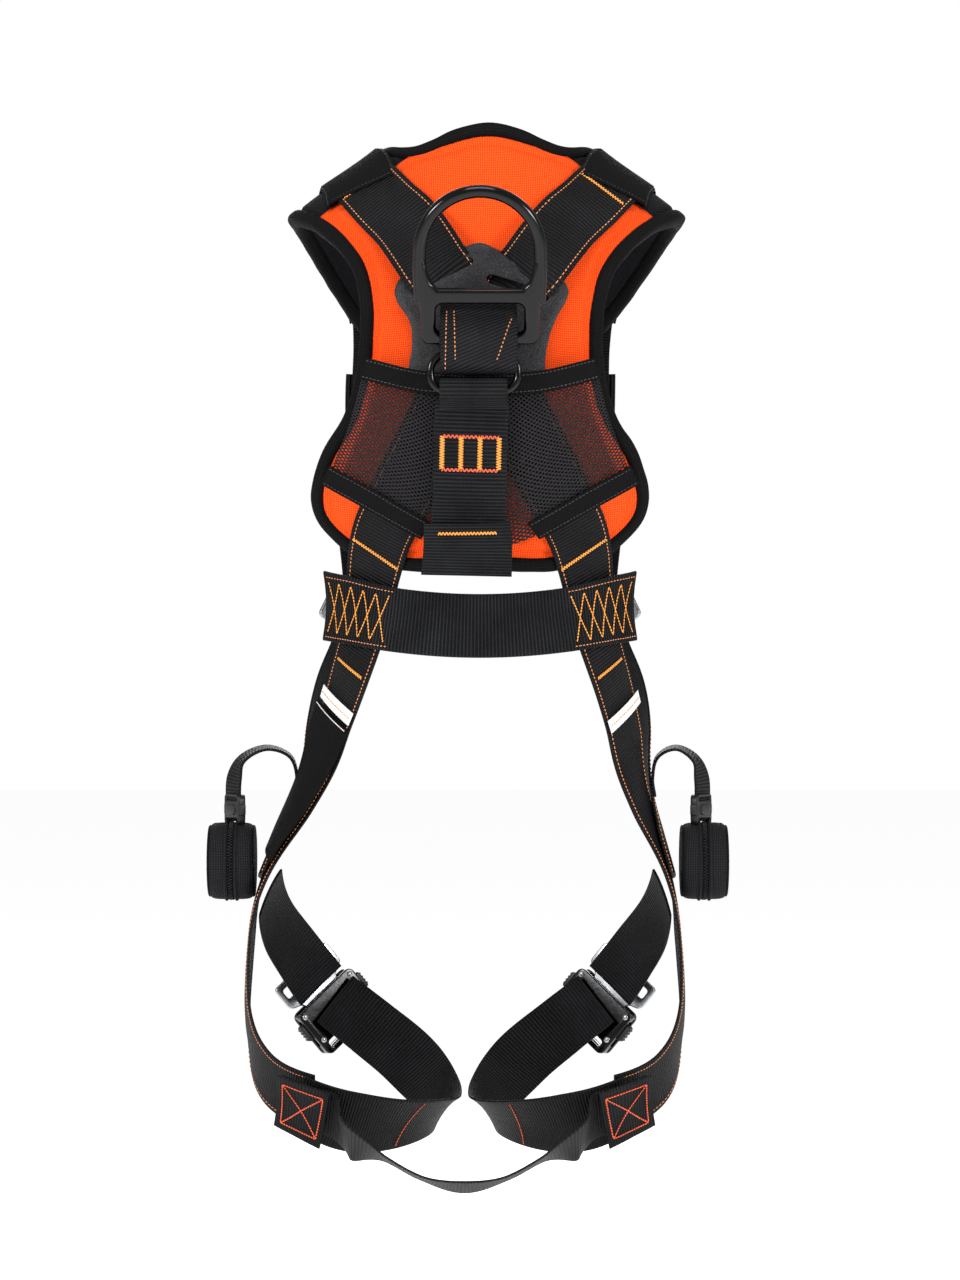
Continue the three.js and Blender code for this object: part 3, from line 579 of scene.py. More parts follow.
def edge_fall(rows, columns, reach):
    """0 at a patch's rim and 1 inside it, over that share of its size."""
    u = np.linspace(0, 1, columns)
    v = np.linspace(0, 1, rows)
    rim = np.minimum(np.minimum(u, 1 - u)[None, :], np.minimum(v, 1 - v)[:, None] * 1.3)
    return ease(rim, 0, reach)


def ripple(p, scale, seed):
    """Smooth unevenness between about -1 and 1, the same each run."""
    rng = random.Random(seed)
    total = np.zeros(p.shape[:-1])
    for _ in range(5):
        way = np.array([rng.uniform(-1, 1) for _ in range(3)])
        total += np.sin(p @ way / scale * 6.3 + rng.uniform(0, 6.3))
    return total / 3


def woven_cloth(name, colour, painted_highlight, dark, pitch, strength, roughness=0.8):
    """Plain-woven coated polyester: the raised crossings are painted lighter as a painted highlight, so the
    gaps look darker, and the cloth's own tone varies at random. The weave is drawn a little coarser than the
    real
    0.9 mm so that it shows."""
    made, tree = new_material(name)
    uv = add_node(tree, "ShaderNodeUVMap", uv_map="cloth")
    split = add_node(tree, "ShaderNodeSeparateXYZ", {0: uv.outputs[0]})
    waves = []
    for sign in (1, -1):
        lean = add_node(tree, "ShaderNodeMath", {
            0: split.outputs[1], 1: float(sign), 2: split.outputs[0]}, operation="MULTIPLY_ADD")
        turn = add_node(tree, "ShaderNodeMath", {
            0: lean.outputs[0], 1: 2 * math.pi / (pitch * 1.414)}, operation="MULTIPLY")
        waves.append(add_node(tree, "ShaderNodeMath", {0: turn.outputs[0]}, operation="SINE"))
    weave = add_node(tree, "ShaderNodeMath", {
        0: waves[0].outputs[0], 1: waves[1].outputs[0]}, operation="MULTIPLY")
    share = add_node(tree, "ShaderNodeMapRange", {
        "Value": weave.outputs[0], "From Min": -1.0, "From Max": 1.0})
    place = add_node(tree, "ShaderNodeTexCoord")
    uneven = add_node(tree, "ShaderNodeTexNoise", {
        "Vector": place.outputs["Object"], "Scale": 14.0, "Detail": 4.0})
    base = add_node(tree, "ShaderNodeMix", {
        "Factor": uneven.outputs[0], "A": linear(dark), "B": linear(colour)},
        data_type="RGBA")
    crossing_highlight_mask = add_node(tree, "ShaderNodeMath", {
        0: share.outputs[0], 1: share.outputs[0]}, operation="MULTIPLY")
    # Painted highlight: the raised weave crossings are mixed towards the lighter colour.
    mix = add_node(tree, "ShaderNodeMix", {
        "Factor": crossing_highlight_mask.outputs[0], "A": base.outputs[2], "B": linear(painted_highlight)}, data_type="RGBA")
    bump = add_node(tree, "ShaderNodeBump", {
        "Strength": strength, "Distance": 0.0004, "Height": weave.outputs[0]})
    finish_material(tree, {
        "Base Color": mix.outputs[2], "Roughness": roughness, "Normal": bump.outputs[0],
        "Specular IOR Level": 0.08})
    return made


# The second colour of each cloth is the painted highlight on its weave crossings.
orange_cloth = woven_cloth("woven_polyester_orange", "#F23A08", "#FF6E2A", "#DE2E04", 2.2, 0.5)
black_binding = woven_cloth("folded_binding_tape_black", "#050506", "#1C1C1E", "#030303", 1.3, 0.5)
spacer_cloth = woven_cloth("spacer_fabric_black", "#060607", "#2C2C30", "#030304", 2.2, 0.7)


def padded_shell(name, grid, low, high, fall, material, seed, pinch=5.0):
    """A padded piece between two heights that thins towards its rim."""
    rows, columns = grid.shape[:2]
    flat_uv = np.cumsum(np.vstack([
        np.zeros((1, columns)), np.linalg.norm(np.diff(grid, axis=0), axis=-1)]), axis=0)
    side_uv = np.cumsum(np.hstack([
        np.zeros((rows, 1)), np.linalg.norm(np.diff(grid, axis=1), axis=-1)]), axis=1)
    side_uv -= side_uv.mean(axis=1, keepdims=True)
    wobble = 0.35 * ripple(grid, 60, seed) * fall
    lower = swayed(settle(grid, low + (1 - fall) * 1.5))
    upper = swayed(settle(grid, high - (1 - fall) * pinch + wobble))
    piece = shell_object(name, lower, upper, np.zeros(rows), np.zeros(columns))
    uv = np.stack([flat_uv, side_uv], -1).reshape(-1, 2)
    uv = np.concatenate([uv, uv])
    loops = np.zeros(len(piece.data.loops), int)
    piece.data.loops.foreach_get("vertex_index", loops)
    piece.data.uv_layers["cloth"].data.foreach_set("uv", uv[loops].ravel())
    return dress(piece, material)


PAD_ROWS, PAD_COLUMNS = 110, 96
pad_grid = pad_patch(PAD_ROWS, PAD_COLUMNS)
pad_fall = edge_fall(PAD_ROWS, PAD_COLUMNS, 0.07)
cover = padded_shell(
    "back_pad_orange_cover", pad_grid, 7.6, COVER_TOP, pad_fall, orange_cloth, 3)
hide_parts("back_pad_cover")
lining = padded_shell(
    "back_pad_spacer_lining", pad_grid[::2, ::2], 1.0, 7.3, edge_fall(55, 48, 0.07), spacer_cloth,
    5, pinch=2.5)
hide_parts("back_pad_lining", "back_pad_foam")

# The shoulder pads are black spacer fabric over foam, joined to the yoke at the shoulder ridge.
for side, sign, turn in (("left", -1, flip), ("right", 1, list)):
    inside = np.array([sign * 106, 24, 316.0])
    outer = inset_line(turn(HALF_EDGE[12:18]), 60, inside, PAD_INSET)
    inner = inset_line(turn(HALF_EDGE[20:25])[::-1], 60, inside, PAD_INSET)
    chest = pull_ends(inset_line(turn(HALF_EDGE[17:21])[::-1], 30, inside, PAD_INSET), inner[-1], outer[-1])
    top = pull_ends(inset_line(turn(RIDGE[:4])[::-1], 30, PAD_MIDDLE, 5.6), inner[0], outer[0])
    pad = padded_shell(
        f"shoulder_pad_spacer_{side}", four_sided(chest, top, inner[::-1], outer[::-1]), 1.0, COVER_TOP,
        edge_fall(60, 30, 0.1), spacer_cloth, 11, pinch=3.5)
    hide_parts(f"shoulder_pad_{side}")


def ring_faces(count, ring, loop=False):
    """The quads between rings of corners, one ring after another."""
    return [
        (a * ring + b, a * ring + (b + 1) % ring, (a + 1) % count * ring + (b + 1) % ring,
         (a + 1) % count * ring + b)
        for a in range(count if loop else count - 1) for b in range(ring)
    ]


# The binding is one folded tape round the whole edge.
binding_route = [(*p, 0.0) for p in HALF_EDGE[:-1] + flip(HALF_EDGE[::-1])[:-1]]
binding_line, binding_run = smooth_line(binding_route, 3.0, loop=True)
binding_centre = binding_line[:, :3]
binding_out = outward(settle(binding_centre, np.zeros(len(binding_run))))
binding_side = unit(np.cross(binding_out, tangents(binding_centre, loop=True)))
turn = np.linspace(0, 2 * math.pi, 18, endpoint=False)
section_x = BINDING_WIDE / 2 * np.sign(np.cos(turn)) * np.abs(np.cos(turn)) ** 0.6
section_z = BINDING_HALF_DEEP * np.sign(np.sin(turn)) * np.abs(np.sin(turn)) ** 0.7
uneven = 1 + 0.05 * ripple(binding_centre, 22, 8)[:, None]
base = settle(binding_centre, np.full(len(binding_run), 6.3))
rim = base[:, None] + binding_side[:, None] * (section_x * uneven)[..., None]
rim = rim + outward(base)[:, None] * section_z[None, :, None]
rim = swayed(rim)
count, ring = rim.shape[:2]
faces = ring_faces(count, ring, loop=True)
uv = np.stack([
    np.repeat(binding_run[:, None], ring, 1), np.repeat((turn * 5)[None], count, 0)], -1).reshape(-1, 2)
binding = mesh_object("pad_binding_tape", rim.reshape(-1, 3), faces, uv)
dress(binding, black_binding)
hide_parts("pad_binding")

# ---- The two main webs ---------------------------------------------------------------------------
# Each runs from the front adjuster over one shoulder, through a slot of the dorsal plate, under the mesh
# cover and down the other side to the seat. Both selvedges carry a dashed line of pale thread.
PAD_WEB = 12.2
OVER_PLATE = 21.8


def main_route(over, side):
    """One main web, whose height over the other where they cross is given."""
    dip = 12.6 if side == "right" else 15.0
    return [
        (112, 80, 6, 4), (104, 91, 40, 4), (93, 100, 80, 4), (82, 105, 125, 4), (76, 106, 165, 6),
        (75, 105, 188, 8), (74, 104, 210, PAD_WEB), (76, 100, 232, PAD_WEB), (80, 86, 262, PAD_WEB),
        (88, 52, 295, PAD_WEB), (92, 10, 313, PAD_WEB), (87, -34, 309, PAD_WEB), (68, -66, 287, PAD_WEB + 1),
        (53, -78, 271, 17), (42, -89, 256, OVER_PLATE), (31, -98, 240, OVER_PLATE), (25, -100, 233, 18),
        (20, -102, 224, dip), (10, -105, 203, over), (0, -107, 187, over), (-14, -107, 162, over),
        (-40, -104, 115, over), (-56, -100, 86, PAD_WEB), (-71, -95, 59, PAD_WEB), (-79, -92, 40, PAD_WEB),
        (-85, -88, 24, 10.6), (-99, -82, -15, 8), (-111, -72, -45, 5), (-121, -60, -73, 4),
        (-131, -40, -112, 6), (-140, -26, -150, 8), (-144, -18, -180, 8), (-146, -12, -239, 6.6),
        (-146, -15, -295, 3), (-137, -40, -325, 3), (-112, -80, -347, 3),
    ]


def where_nearest(band, x, z):
    """The distance along a band whose middle is nearest to a place seen from behind."""
    middle = band["under"][:, len(band["across"]) // 2]
    gap = np.hypot(middle[:, 0] - x, middle[:, 2] - z)
    gap = np.where(middle[:, 1] < 0, gap, 1e6)
    return band["run"][int(np.argmin(gap))]


for side, route in (("right", main_route(12.6, "right")), ("left", flip(main_route(15.4, "left")))):
    band = band_on_wearer(route)
    strap = make_strap(f"main_web_ribbed_{side}", band)
    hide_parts(f"main_web_{side}")
    edge_stitches(f"main_web_edge_stitches_{side}", band)
    sign = 1 if side == "right" else -1
    at = where_nearest(band, sign * 82, 309)
    tack(f"shoulder_bar_tack_{side}", band, WEB_THICK, [((at, -18), (at, 18))])
    at = where_nearest(band, -sign * 76, 47)
    tack(f"pad_bar_tack_{side}", band, WEB_THICK, [((at - 3 * sign, -20), (at + 3 * sign, 20))])
    at = where_nearest(band, -sign * 112, -27)
    tack(f"hip_bar_tack_{side}", band, WEB_THICK, [((at, -16), (at, 16))])

# Beyond the shoulder ridge each web runs on under a smooth black sleeve sewn to the shoulder pad.
TUNNEL = [(84, -54, 297), (87, -34, 309), (92, 10, 313), (88, 52, 295), (80, 86, 262), (75, 101, 232)]
for side, turn in (("left", flip), ("right", list)):
    band = band_on_wearer(turn([(*p, PAD_WEB + 1.9) for p in TUNNEL]), wide=53)
    drop = 2.2 * ease(np.abs(ACROSS), 0.435, 0.5)
    band["under"] = band["under"] - band["normal"] * drop[None, :, None]
    make_strap(f"shoulder_web_sleeve_{side}", band, 0.9, black_binding)
    end = band["run"][-1]
    rows = [stitched_path(band, 0.7, [(1, t), (end - 1, t)], 2.8, 1.9) for t in (-24.6, 24.6)]
    rows += [stitched_path(band, 0.9, [(s, -23), (s, 23)], 2.8, 1.9) for s in (2.4, end - 2.4)]
    sew(f"shoulder_web_sleeve_stitches_{side}", rows, 0.6, 0.3, black_thread)

# ---- Waist strap and hip webs --------------------------------------------------------------------
# The waist strap joins the two main webs behind the wearer. It is heavier webbing with coarse ribs, folded
# over each main web and sewn with two overlaid zigzags of orange thread.
WAIST_HALF = [(121, -62, 9, 14.4), (99, -78, 6, 14.4), (60, -88, 0, 14.2), (30, -91, -3, 9)]
waist_band = band_on_wearer(flip(WAIST_HALF) + [(0, -92, -4, 7)] + WAIST_HALF[::-1], step=0.42)
waist = make_strap("waist_strap_ribbed", waist_band, 1.8, coarse_webbing_material, ribs=0.3)
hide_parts("waist_strap")
waist_long = waist_band["run"][-1]
ZIGZAG_HALF, ZIGZAG_LONG, ZIGZAG_LEGS = 16.5, 56, 5
for side, start in (("left", 5.0), ("right", waist_long - 5 - ZIGZAG_LONG)):
    steps = np.arange(ZIGZAG_LEGS + 1)
    along = start + steps * ZIGZAG_LONG / ZIGZAG_LEGS
    up = [(s, ZIGZAG_HALF if n % 2 else -ZIGZAG_HALF) for n, s in zip(steps, along)]
    down = [(s, -t) for s, t in up]
    seam(f"waist_zigzag_{side}", waist_band, 2.0, [up, down], bright_thread, 2.3, 2.2, 1.0)
    rims = [[(start - 2, -19.4), (start + ZIGZAG_LONG + 3, -19.4)],
            [(start - 2, 19.4), (start + ZIGZAG_LONG + 3, 19.4)]]
    seam(f"waist_rim_stitches_{side}", waist_band, 2.0, rims, pale_thread, 2.8, 1.9, 0.7)

HIP_WEB = [
    (114, 77, -2, 4), (121, 60, -30, 4), (129, 38, -60, 5), (138, 12, -110, 8.6), (143, -6, -155, 10.8),
    (145, -12, -186, 10.8),
]
SLEEVE = [(120, -62, -68, 8), (131, -40, -112, 11.4), (139, -26, -150, 13.6), (142, -22, -170, 13.6)]
CHEST_STRAP = [(99, 95, 165, 11.4), (76, 106, 165, 11.4), (40, 112, 165, 11.4), (8, 114, 165, 11.4)]
LEG_WEB = [
    (118, -73, -343, 6.4), (98, -88, -356, 6.2), (73, -86, -362, 4.6), (44, -62, -360, 4), (30, -20, -350, 4),
    (32, 30, -340, 4), (48, 62, -322, 4), (72, 78, -304, 4), (98, 80, -284, 4),
]
RISER = [(108, 76, -274, 4), (124, 62, -248, 4), (136, 36, -222, 3.4), (141, 14, -200, 3)]
SEAT_PATCH = [(126, -62, -338, 15.4), (114, -79, -347, 15.4), (100, -91, -356, 15.4)]
for side, turn in (("left", flip), ("right", list)):
    for name, node, route in (
        ("hip_web_ribbed", "hip_web", HIP_WEB), ("chest_web_ribbed", "chest_web", CHEST_STRAP),
        ("leg_web_ribbed", "leg_web", LEG_WEB), ("leg_riser_ribbed", "leg_riser", RISER),
    ):
        band = band_on_wearer(turn(route))
        strap = make_strap(f"{name}_{side}", band)
        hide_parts(f"{node}_{side}")
        if node == "leg_web":
            leg_band = band
        if node in ("hip_web", "chest_web"):
            edge_stitches(f"{name}_edge_stitches_{side}", band)
    # A slanting seam joins the leg web to its own return.
    at = where_nearest(leg_band, (-52 if side == "left" else 28), -357)
    seam(f"leg_seam_{side}", leg_band, WEB_THICK, [[(at - 4, -20), (at + 4, 20)]], red_thread)
    # The seat patch is a short folded web, boxed and crossed with stitches.
    band = band_on_wearer(turn(SEAT_PATCH), wide=46)
    patch = make_strap(f"seat_patch_sewn_{side}", band, 1.2)
    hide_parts(f"seat_patch_{side}")
    low, high = 5.0, band["run"][-1] - 5
    box = [(low, -17), (high, -17), (high, 17), (low, 17), (low, -17)]
    crosses = [[(low, -17), (high, 17)], [(low, 17), (high, -17)]]
    seam(f"seat_patch_box_stitch_{side}", band, 1.2, [box, *crosses], red_thread, 2.2, 2.1, 1.1)

# The label sleeve covers the left main web at the hip; a white tag shows at its top, and another on the
# right. They are left plain.
label_cloth, label_tree = new_material("white_satin_label_tape")
label_uv = add_node(label_tree, "ShaderNodeUVMap", uv_map="cloth")
label_weave = add_node(label_tree, "ShaderNodeTexWave", {
    "Vector": label_uv.outputs[0], "Scale": 1.2, "Distortion": 0.3}, bands_direction="X")
label_tone = add_node(label_tree, "ShaderNodeMix", {
    "Factor": label_weave.outputs[1], "A": linear("#D8D8D6"), "B": linear("#F4F4F2")},
    data_type="RGBA")
label_bump = add_node(label_tree, "ShaderNodeBump", {
    "Strength": 0.2, "Distance": 0.0003, "Height": label_weave.outputs[1]})
finish_material(label_tree, {
    "Base Color": label_tone.outputs[2], "Roughness": 0.45, "Normal": label_bump.outputs[0],
    "Sheen Weight": 0.3})
band = band_on_wearer(flip(SLEEVE), wide=49)
sleeve = make_strap("label_sleeve_cloth", band, 1.4, black_binding)
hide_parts("label_sleeve")
seam("label_sleeve_rim_line", band, 1.4, [[(1.5, -23), (1.5, 23)]], white_thread, 1.6, 1.6, 1.0)
for name, route in (("left", flip([(116, -67, -56, 7.4), (119, -63, -65, 7.6)])),
                    ("right", [(118, -64.5, -61, 7.4), (121, -60, -70, 7.4)])):
    band = band_on_wearer(route, step=1.5)
    tag = make_strap(f"label_tag_tape_{name}", band, 0.6, label_cloth)
    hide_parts(f"label_tag_{name}")
    at = band["run"][-1] / 2
    seam(f"label_tag_stitches_{name}", band, 0.6, [[(at, -21), (at, 21)]], pale_thread)


def hanging_band(points, wide, thick):
    """A strap that leaves the wearer. Each point ends with a height, or with its facing."""
    places, facings = [], []
    for x, y, z, hold in points:
        at = np.array([x, y, z], float)
        if isinstance(hold, tuple):
            facings.append(unit(np.array(hold, float)))
        else:
            at = settle(at, hold)
            facings.append(outward(at))
        places.append(at)
    band = free_band([(*p, *f) for p, f in zip(places, facings)], wide)
    band["under"] = swayed(band["under"]) - band["normal"] * thick / 2
    return band


# The sub-pelvic strap hangs between the seat patches in a shallow curve, turned almost edge-on.
SEAT_STRAP = [
    (126, -62, -338, 12.4), (109, -85, -350, 12.4), (96, -97, -358, 12.6),
    (80, -107, -367, (0.2, -0.7, -0.7)),
    (58, -110, -376, (0.05, -0.25, -0.97)), (29, -111, -391, (0, -0.2, -0.98)),
]
mirrored = [(-x, y, z, (-h[0], h[1], h[2]) if isinstance(h, tuple) else h) for x, y, z, h in SEAT_STRAP]
band = hanging_band(SEAT_STRAP + [(0, -111, -397, (0, -0.34, -0.94))] + mirrored[::-1], 38, WEB_THICK)
seat = make_strap("sub_pelvic_strap_ribbed", band)
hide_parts("sub_pelvic_strap")

# ---- Mesh cover and its bands --------------------------------------------------------------------
# A see-through knitted net over the lower back keeps the crossing webs in place. Its top edge and its two
# lower corners are bound with 14 mm black tape, sewn down.
MESH_LEFT = [(-110, 97), (-100, 114), (-86, 142), (-76, 175)]
MESH_LOW = [(-110, 97), (-72, 79), (-36, 60), (0, 50), (36, 60), (72, 79), (110, 97)]
MESH_HIGH = [(-76, 175), (-38, 166), (0, 164), (38, 166), (76, 175)]


def on_back(points):
    return [tuple(settle(np.array([x, -100, z], float), 0)) for x, z in points]


def even_line(points, count):
    line, run = smooth_line(on_back(points), 1.0)
    at = np.linspace(0, run[-1], count)
    return np.stack([np.interp(at, run, line[:, k]) for k in range(3)], axis=1)


NET_PITCH = 3.1
NET_ROWS, NET_COLUMNS = 60, 90
net_grid = four_sided(
    even_line(MESH_LOW, NET_COLUMNS), even_line(MESH_HIGH, NET_COLUMNS),
    even_line(MESH_LEFT, NET_ROWS), even_line(flip(MESH_LEFT), NET_ROWS))
net, net_tree = new_material("knitted_polyester_net_black")
net_uv = add_node(net_tree, "ShaderNodeUVMap", uv_map="cloth")
net_split = add_node(net_tree, "ShaderNodeSeparateXYZ", {0: net_uv.outputs[0]})
net_waves = []
for sign in (1, -1):
    lean = add_node(net_tree, "ShaderNodeMath", {
        0: net_split.outputs[1], 1: 0.62 * sign, 2: net_split.outputs[0]}, operation="MULTIPLY_ADD")
    turns = add_node(net_tree, "ShaderNodeMath", {
        0: lean.outputs[0], 1: math.pi / NET_PITCH * 1.18}, operation="MULTIPLY")
    wave = add_node(net_tree, "ShaderNodeMath", {0: turns.outputs[0]}, operation="SINE")
    net_waves.append(add_node(net_tree, "ShaderNodeMath", {0: wave.outputs[0]}, operation="ABSOLUTE"))
opening = add_node(net_tree, "ShaderNodeMath", {
    0: net_waves[0].outputs[0], 1: net_waves[1].outputs[0]}, operation="MULTIPLY")
strands = add_node(net_tree, "ShaderNodeMapRange", {
    "Value": opening.outputs[0], "From Min": 0.5, "From Max": 0.62, "To Min": 1.0, "To Max": 0.0})
net_bump = add_node(net_tree, "ShaderNodeBump", {
    "Strength": 0.5, "Distance": 0.0006, "Height": strands.outputs[0]})
finish_material(net_tree, {
    "Base Color": linear("#201E20"), "Roughness": 0.7, "Alpha": strands.outputs[0],
    "Normal": net_bump.outputs[0], "Specular IOR Level": 0.15})
along_net = np.linalg.norm(np.diff(net_grid, axis=0), axis=-1).mean() * np.arange(NET_ROWS)
across_net = np.linalg.norm(np.diff(net_grid, axis=1), axis=-1).mean() * np.arange(NET_COLUMNS)
net_piece = shell_object(
    "mesh_cover_net", swayed(settle(net_grid, 18.6)), swayed(settle(net_grid, 19.3)), along_net, across_net)
dress(net_piece, net)
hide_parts("mesh_cover")

BAND_ACROSS = np.array([-0.5, -0.46, -0.3, 0, 0.3, 0.46, 0.5])
for name, node, points, lift in (
    ("mesh_top_tape", "mesh_top_band", MESH_HIGH, 22.2),
    ("mesh_lower_tape_left", "mesh_lower_band_left", [(-109, 102), (-72, 85), (-36, 65)], 20.6),
    ("mesh_lower_tape_right", "mesh_lower_band_right", [(109, 102), (72, 85), (36, 65)], 20.6),
):
    band = band_on_wearer([(*p, lift) for p in on_back(points)], wide=14, across=BAND_ACROSS)
    tape = make_strap(name, band, 1.2, black_binding)
    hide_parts(node)
    lines = [[(1, t), (band["run"][-1] - 1, t)] for t in (-5.2, 5.2)]
    rows = [stitched_path(band, 1.2, line, 2.6, 1.9) for line in lines]
    sew(f"{name}_stitches", rows, 0.6, 0.3, black_thread)

# ---- Dorsal plate --------------------------------------------------------------------------------
# A moulded nylon plate with a grained face that spreads the webs. It bends to the back, has two slanting
# slots for the webs, and a raised bead along its rounded lobes.
PLATE_OUTLINE = [
    (-43, 160), (-45.5, 173), (-44, 186), (-45, 201), (-49, 209), (-55, 217), (-58, 226), (-55, 235),
    (-47, 241), (-30, 250), (-14, 256), (-3, 259), (8, 254), (20, 247), (38, 239), (52, 233), (56, 226),
    (54, 218), (50, 211), (45.5, 201), (42, 188), (41, 178), (43, 160),
]
PLATE_SLOTS = [((-27, 236), 27, 44, 6.4), ((22.4, 226.2), -18, 43, 6.4)]
plate_plastic, plate_tree = new_material("moulded_nylon_dark_grained")
plate_place = add_node(plate_tree, "ShaderNodeTexCoord")
plate_grain = add_node(plate_tree, "ShaderNodeTexNoise", {
    "Vector": plate_place.outputs["Object"], "Scale": 1400.0, "Detail": 2.0})
plate_spots = add_node(plate_tree, "ShaderNodeMapRange", {
    "Value": plate_grain.outputs[0], "From Min": 0.45, "From Max": 0.72})
plate_tone = add_node(plate_tree, "ShaderNodeMix", {
    "Factor": plate_spots.outputs[0], "A": linear("#0E0E10"), "B": linear("#3C3C40")},
    data_type="RGBA")
plate_bump = add_node(plate_tree, "ShaderNodeBump", {
    "Strength": 0.5, "Distance": 0.0003, "Height": plate_grain.outputs[0]})
finish_material(plate_tree, {
    "Base Color": plate_tone.outputs[2], "Roughness": 0.5, "Normal": plate_bump.outputs[0],
    "Specular IOR Level": 0.25})


def slot_outline(centre, degrees, long, high):
    turn = math.radians(degrees)
    points = []
    for end in (1, -1):
        for k in range(7):
            a = math.radians(-90 + 30 * k) + (0 if end > 0 else math.pi)
            x = end * (long - high) / 2 + high / 2 * math.cos(a)
            y = high / 2 * math.sin(a)
            points.append((centre[0] + x * math.cos(turn) - y * math.sin(turn),
                           centre[1] + x * math.sin(turn) + y * math.cos(turn)))
    return points


def flat_with_holes(outline, holes, spacing):
    """Triangles of a flat shape with holes, with a grid of points inside it."""
    loops = [outline] + holes
    points, edges = [], []
    for loop in loops:
        start = len(points)
        points += [Vector(p) for p in loop]
        edges += [(start + n, start + (n + 1) % len(loop)) for n in range(len(loop))]
    rim_count = len(points)
    xs, ys = [p[0] for p in outline], [p[1] for p in outline]
    rng = random.Random(4)
    for x in np.arange(min(xs), max(xs), spacing):
        for y in np.arange(min(ys), max(ys), spacing):
            spot = Vector((x + rng.uniform(-0.2, 0.2), y + rng.uniform(-0.2, 0.2)))
            if min((spot - q).length for q in points[:rim_count]) > spacing * 0.6:
                points.append(spot)
    out = delaunay_2d_cdt(points, edges, [], 2, 0.01)
    flat, faces = out[0], out[2]

    def inside(p, loop):
        crossings = 0
        for (x0, y0), (x1, y1) in zip(loop, loop[1:] + loop[:1]):
            if (y0 > p[1]) != (y1 > p[1]) and p[0] < (x1 - x0) * (p[1] - y0) / (y1 - y0) + x0:
                crossings += 1
        return crossings % 2 == 1

    kept = []
    for face in faces:
        middle = sum((flat[v] for v in face), Vector((0, 0))) / len(face)
        if inside(middle, outline) and not any(inside(middle, hole) for hole in holes):
            kept.append(list(face))
    return np.array([tuple(p) for p in flat]), kept


plate_rim = [tuple(p[:2]) for p in smooth_line([(x, z, 0.0) for x, z in PLATE_OUTLINE], 2.5)[0]]
flat, triangles = flat_with_holes(plate_rim, [slot_outline(*slot) for slot in PLATE_SLOTS], 3.5)
seed = np.stack([flat[:, 0], np.full(len(flat), -100.0), flat[:, 1]], axis=1)
rim_gap = np.min(np.linalg.norm(flat[:, None] - np.array(plate_rim)[None], axis=-1), axis=1)
bead = np.exp(-((rim_gap - 3.6) / 1.5) ** 2) * (flat[:, 1] > 205)
low = swayed(settle(seed, np.full(len(flat), 18.4)))
high = swayed(settle(seed, 20.6 - 0.7 * np.exp(-(rim_gap / 0.8) ** 2) + bead))
count = len(flat)
faces = [tuple(f) for f in triangles] + [tuple(count + v for v in f[::-1]) for f in triangles]
ways = {(f[k], f[(k + 1) % 3]) for f in triangles for k in range(3)}
faces += [(b, a, count + a, count + b) for a, b in ways if (b, a) not in ways]
plate = mesh_object("dorsal_plate_moulded", np.concatenate([low, high]), faces)


def tidy_normals(piece, angle):
    """Merges doubles, points the faces out and keeps hard edges sharp."""
    mesh = bmesh.new()
    mesh.from_mesh(piece.data)
    bmesh.ops.remove_doubles(mesh, verts=mesh.verts, dist=1e-6)
    bmesh.ops.recalc_face_normals(mesh, faces=mesh.faces)
    mesh.to_mesh(piece.data)
    mesh.free()
    bpy.ops.object.select_all(action="DESELECT")
    piece.select_set(True)
    bpy.context.view_layer.objects.active = piece
    bpy.ops.object.shade_smooth_by_angle(angle=math.radians(angle))
    piece.select_set(False)


tidy_normals(plate, 40)
dress(plate, plate_plastic)
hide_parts("dorsal_plate")

# ---- D-ring, its web wrap and the connector loop -------------------------------------------------
# A forged steel D-ring in gloss black powder coat. The upper loop is round and the lower frame flatter,
# with a slot for the web that ties it to the plate.
gloss_black, gloss_tree = new_material("powder_coated_steel_gloss_black")
gloss_place = add_node(gloss_tree, "ShaderNodeTexCoord")
gloss_noise = add_node(gloss_tree, "ShaderNodeTexNoise", {
    "Vector": gloss_place.outputs["Object"], "Scale": 260.0, "Detail": 3.0})
gloss_rough = add_node(gloss_tree, "ShaderNodeMapRange", {
    "Value": gloss_noise.outputs[0], "To Min": 0.09, "To Max": 0.2})
gloss_bump = add_node(gloss_tree, "ShaderNodeBump", {
    "Strength": 0.08, "Distance": 0.0003, "Height": gloss_noise.outputs[0]})
finish_material(gloss_tree, {
    "Base Color": linear("#020203"), "Roughness": gloss_rough.outputs[0], "Normal": gloss_bump.outputs[0],
    "Specular IOR Level": 0.3})

D_LEAN = math.radians(20)


def flat_piece(name, loops, deep, bevel, matrix, material, body="harness_body", steps=3):
    """A plate with rounded edges and holes, filled from closed outlines."""
    curve = bpy.data.curves.new(name, "CURVE")
    curve.dimensions = "2D"
    curve.fill_mode = "BOTH"
    for loop in loops:
        spline = curve.splines.new("POLY")
        spline.points.add(len(loop) - 1)
        for point, (x, y) in zip(spline.points, loop):
            point.co = (x / 1000, y / 1000, 0, 1)
        spline.use_cyclic_u = True
    curve.extrude = (deep / 2 - bevel) / 1000
    curve.bevel_depth = bevel / 1000
    curve.bevel_resolution = steps
    curve.offset = -bevel / 1000
    made = bpy.data.objects.new(name, curve)
    bpy.context.scene.collection.objects.link(made)
    bpy.ops.object.select_all(action="DESELECT")
    made.select_set(True)
    bpy.context.view_layer.objects.active = made
    bpy.ops.object.convert(target="MESH")
    made = bpy.context.view_layer.objects.active
    made.data.transform(matrix)
    made.data.materials.clear()
    tidy_normals(made, 32)
    return dress(made, material, body)


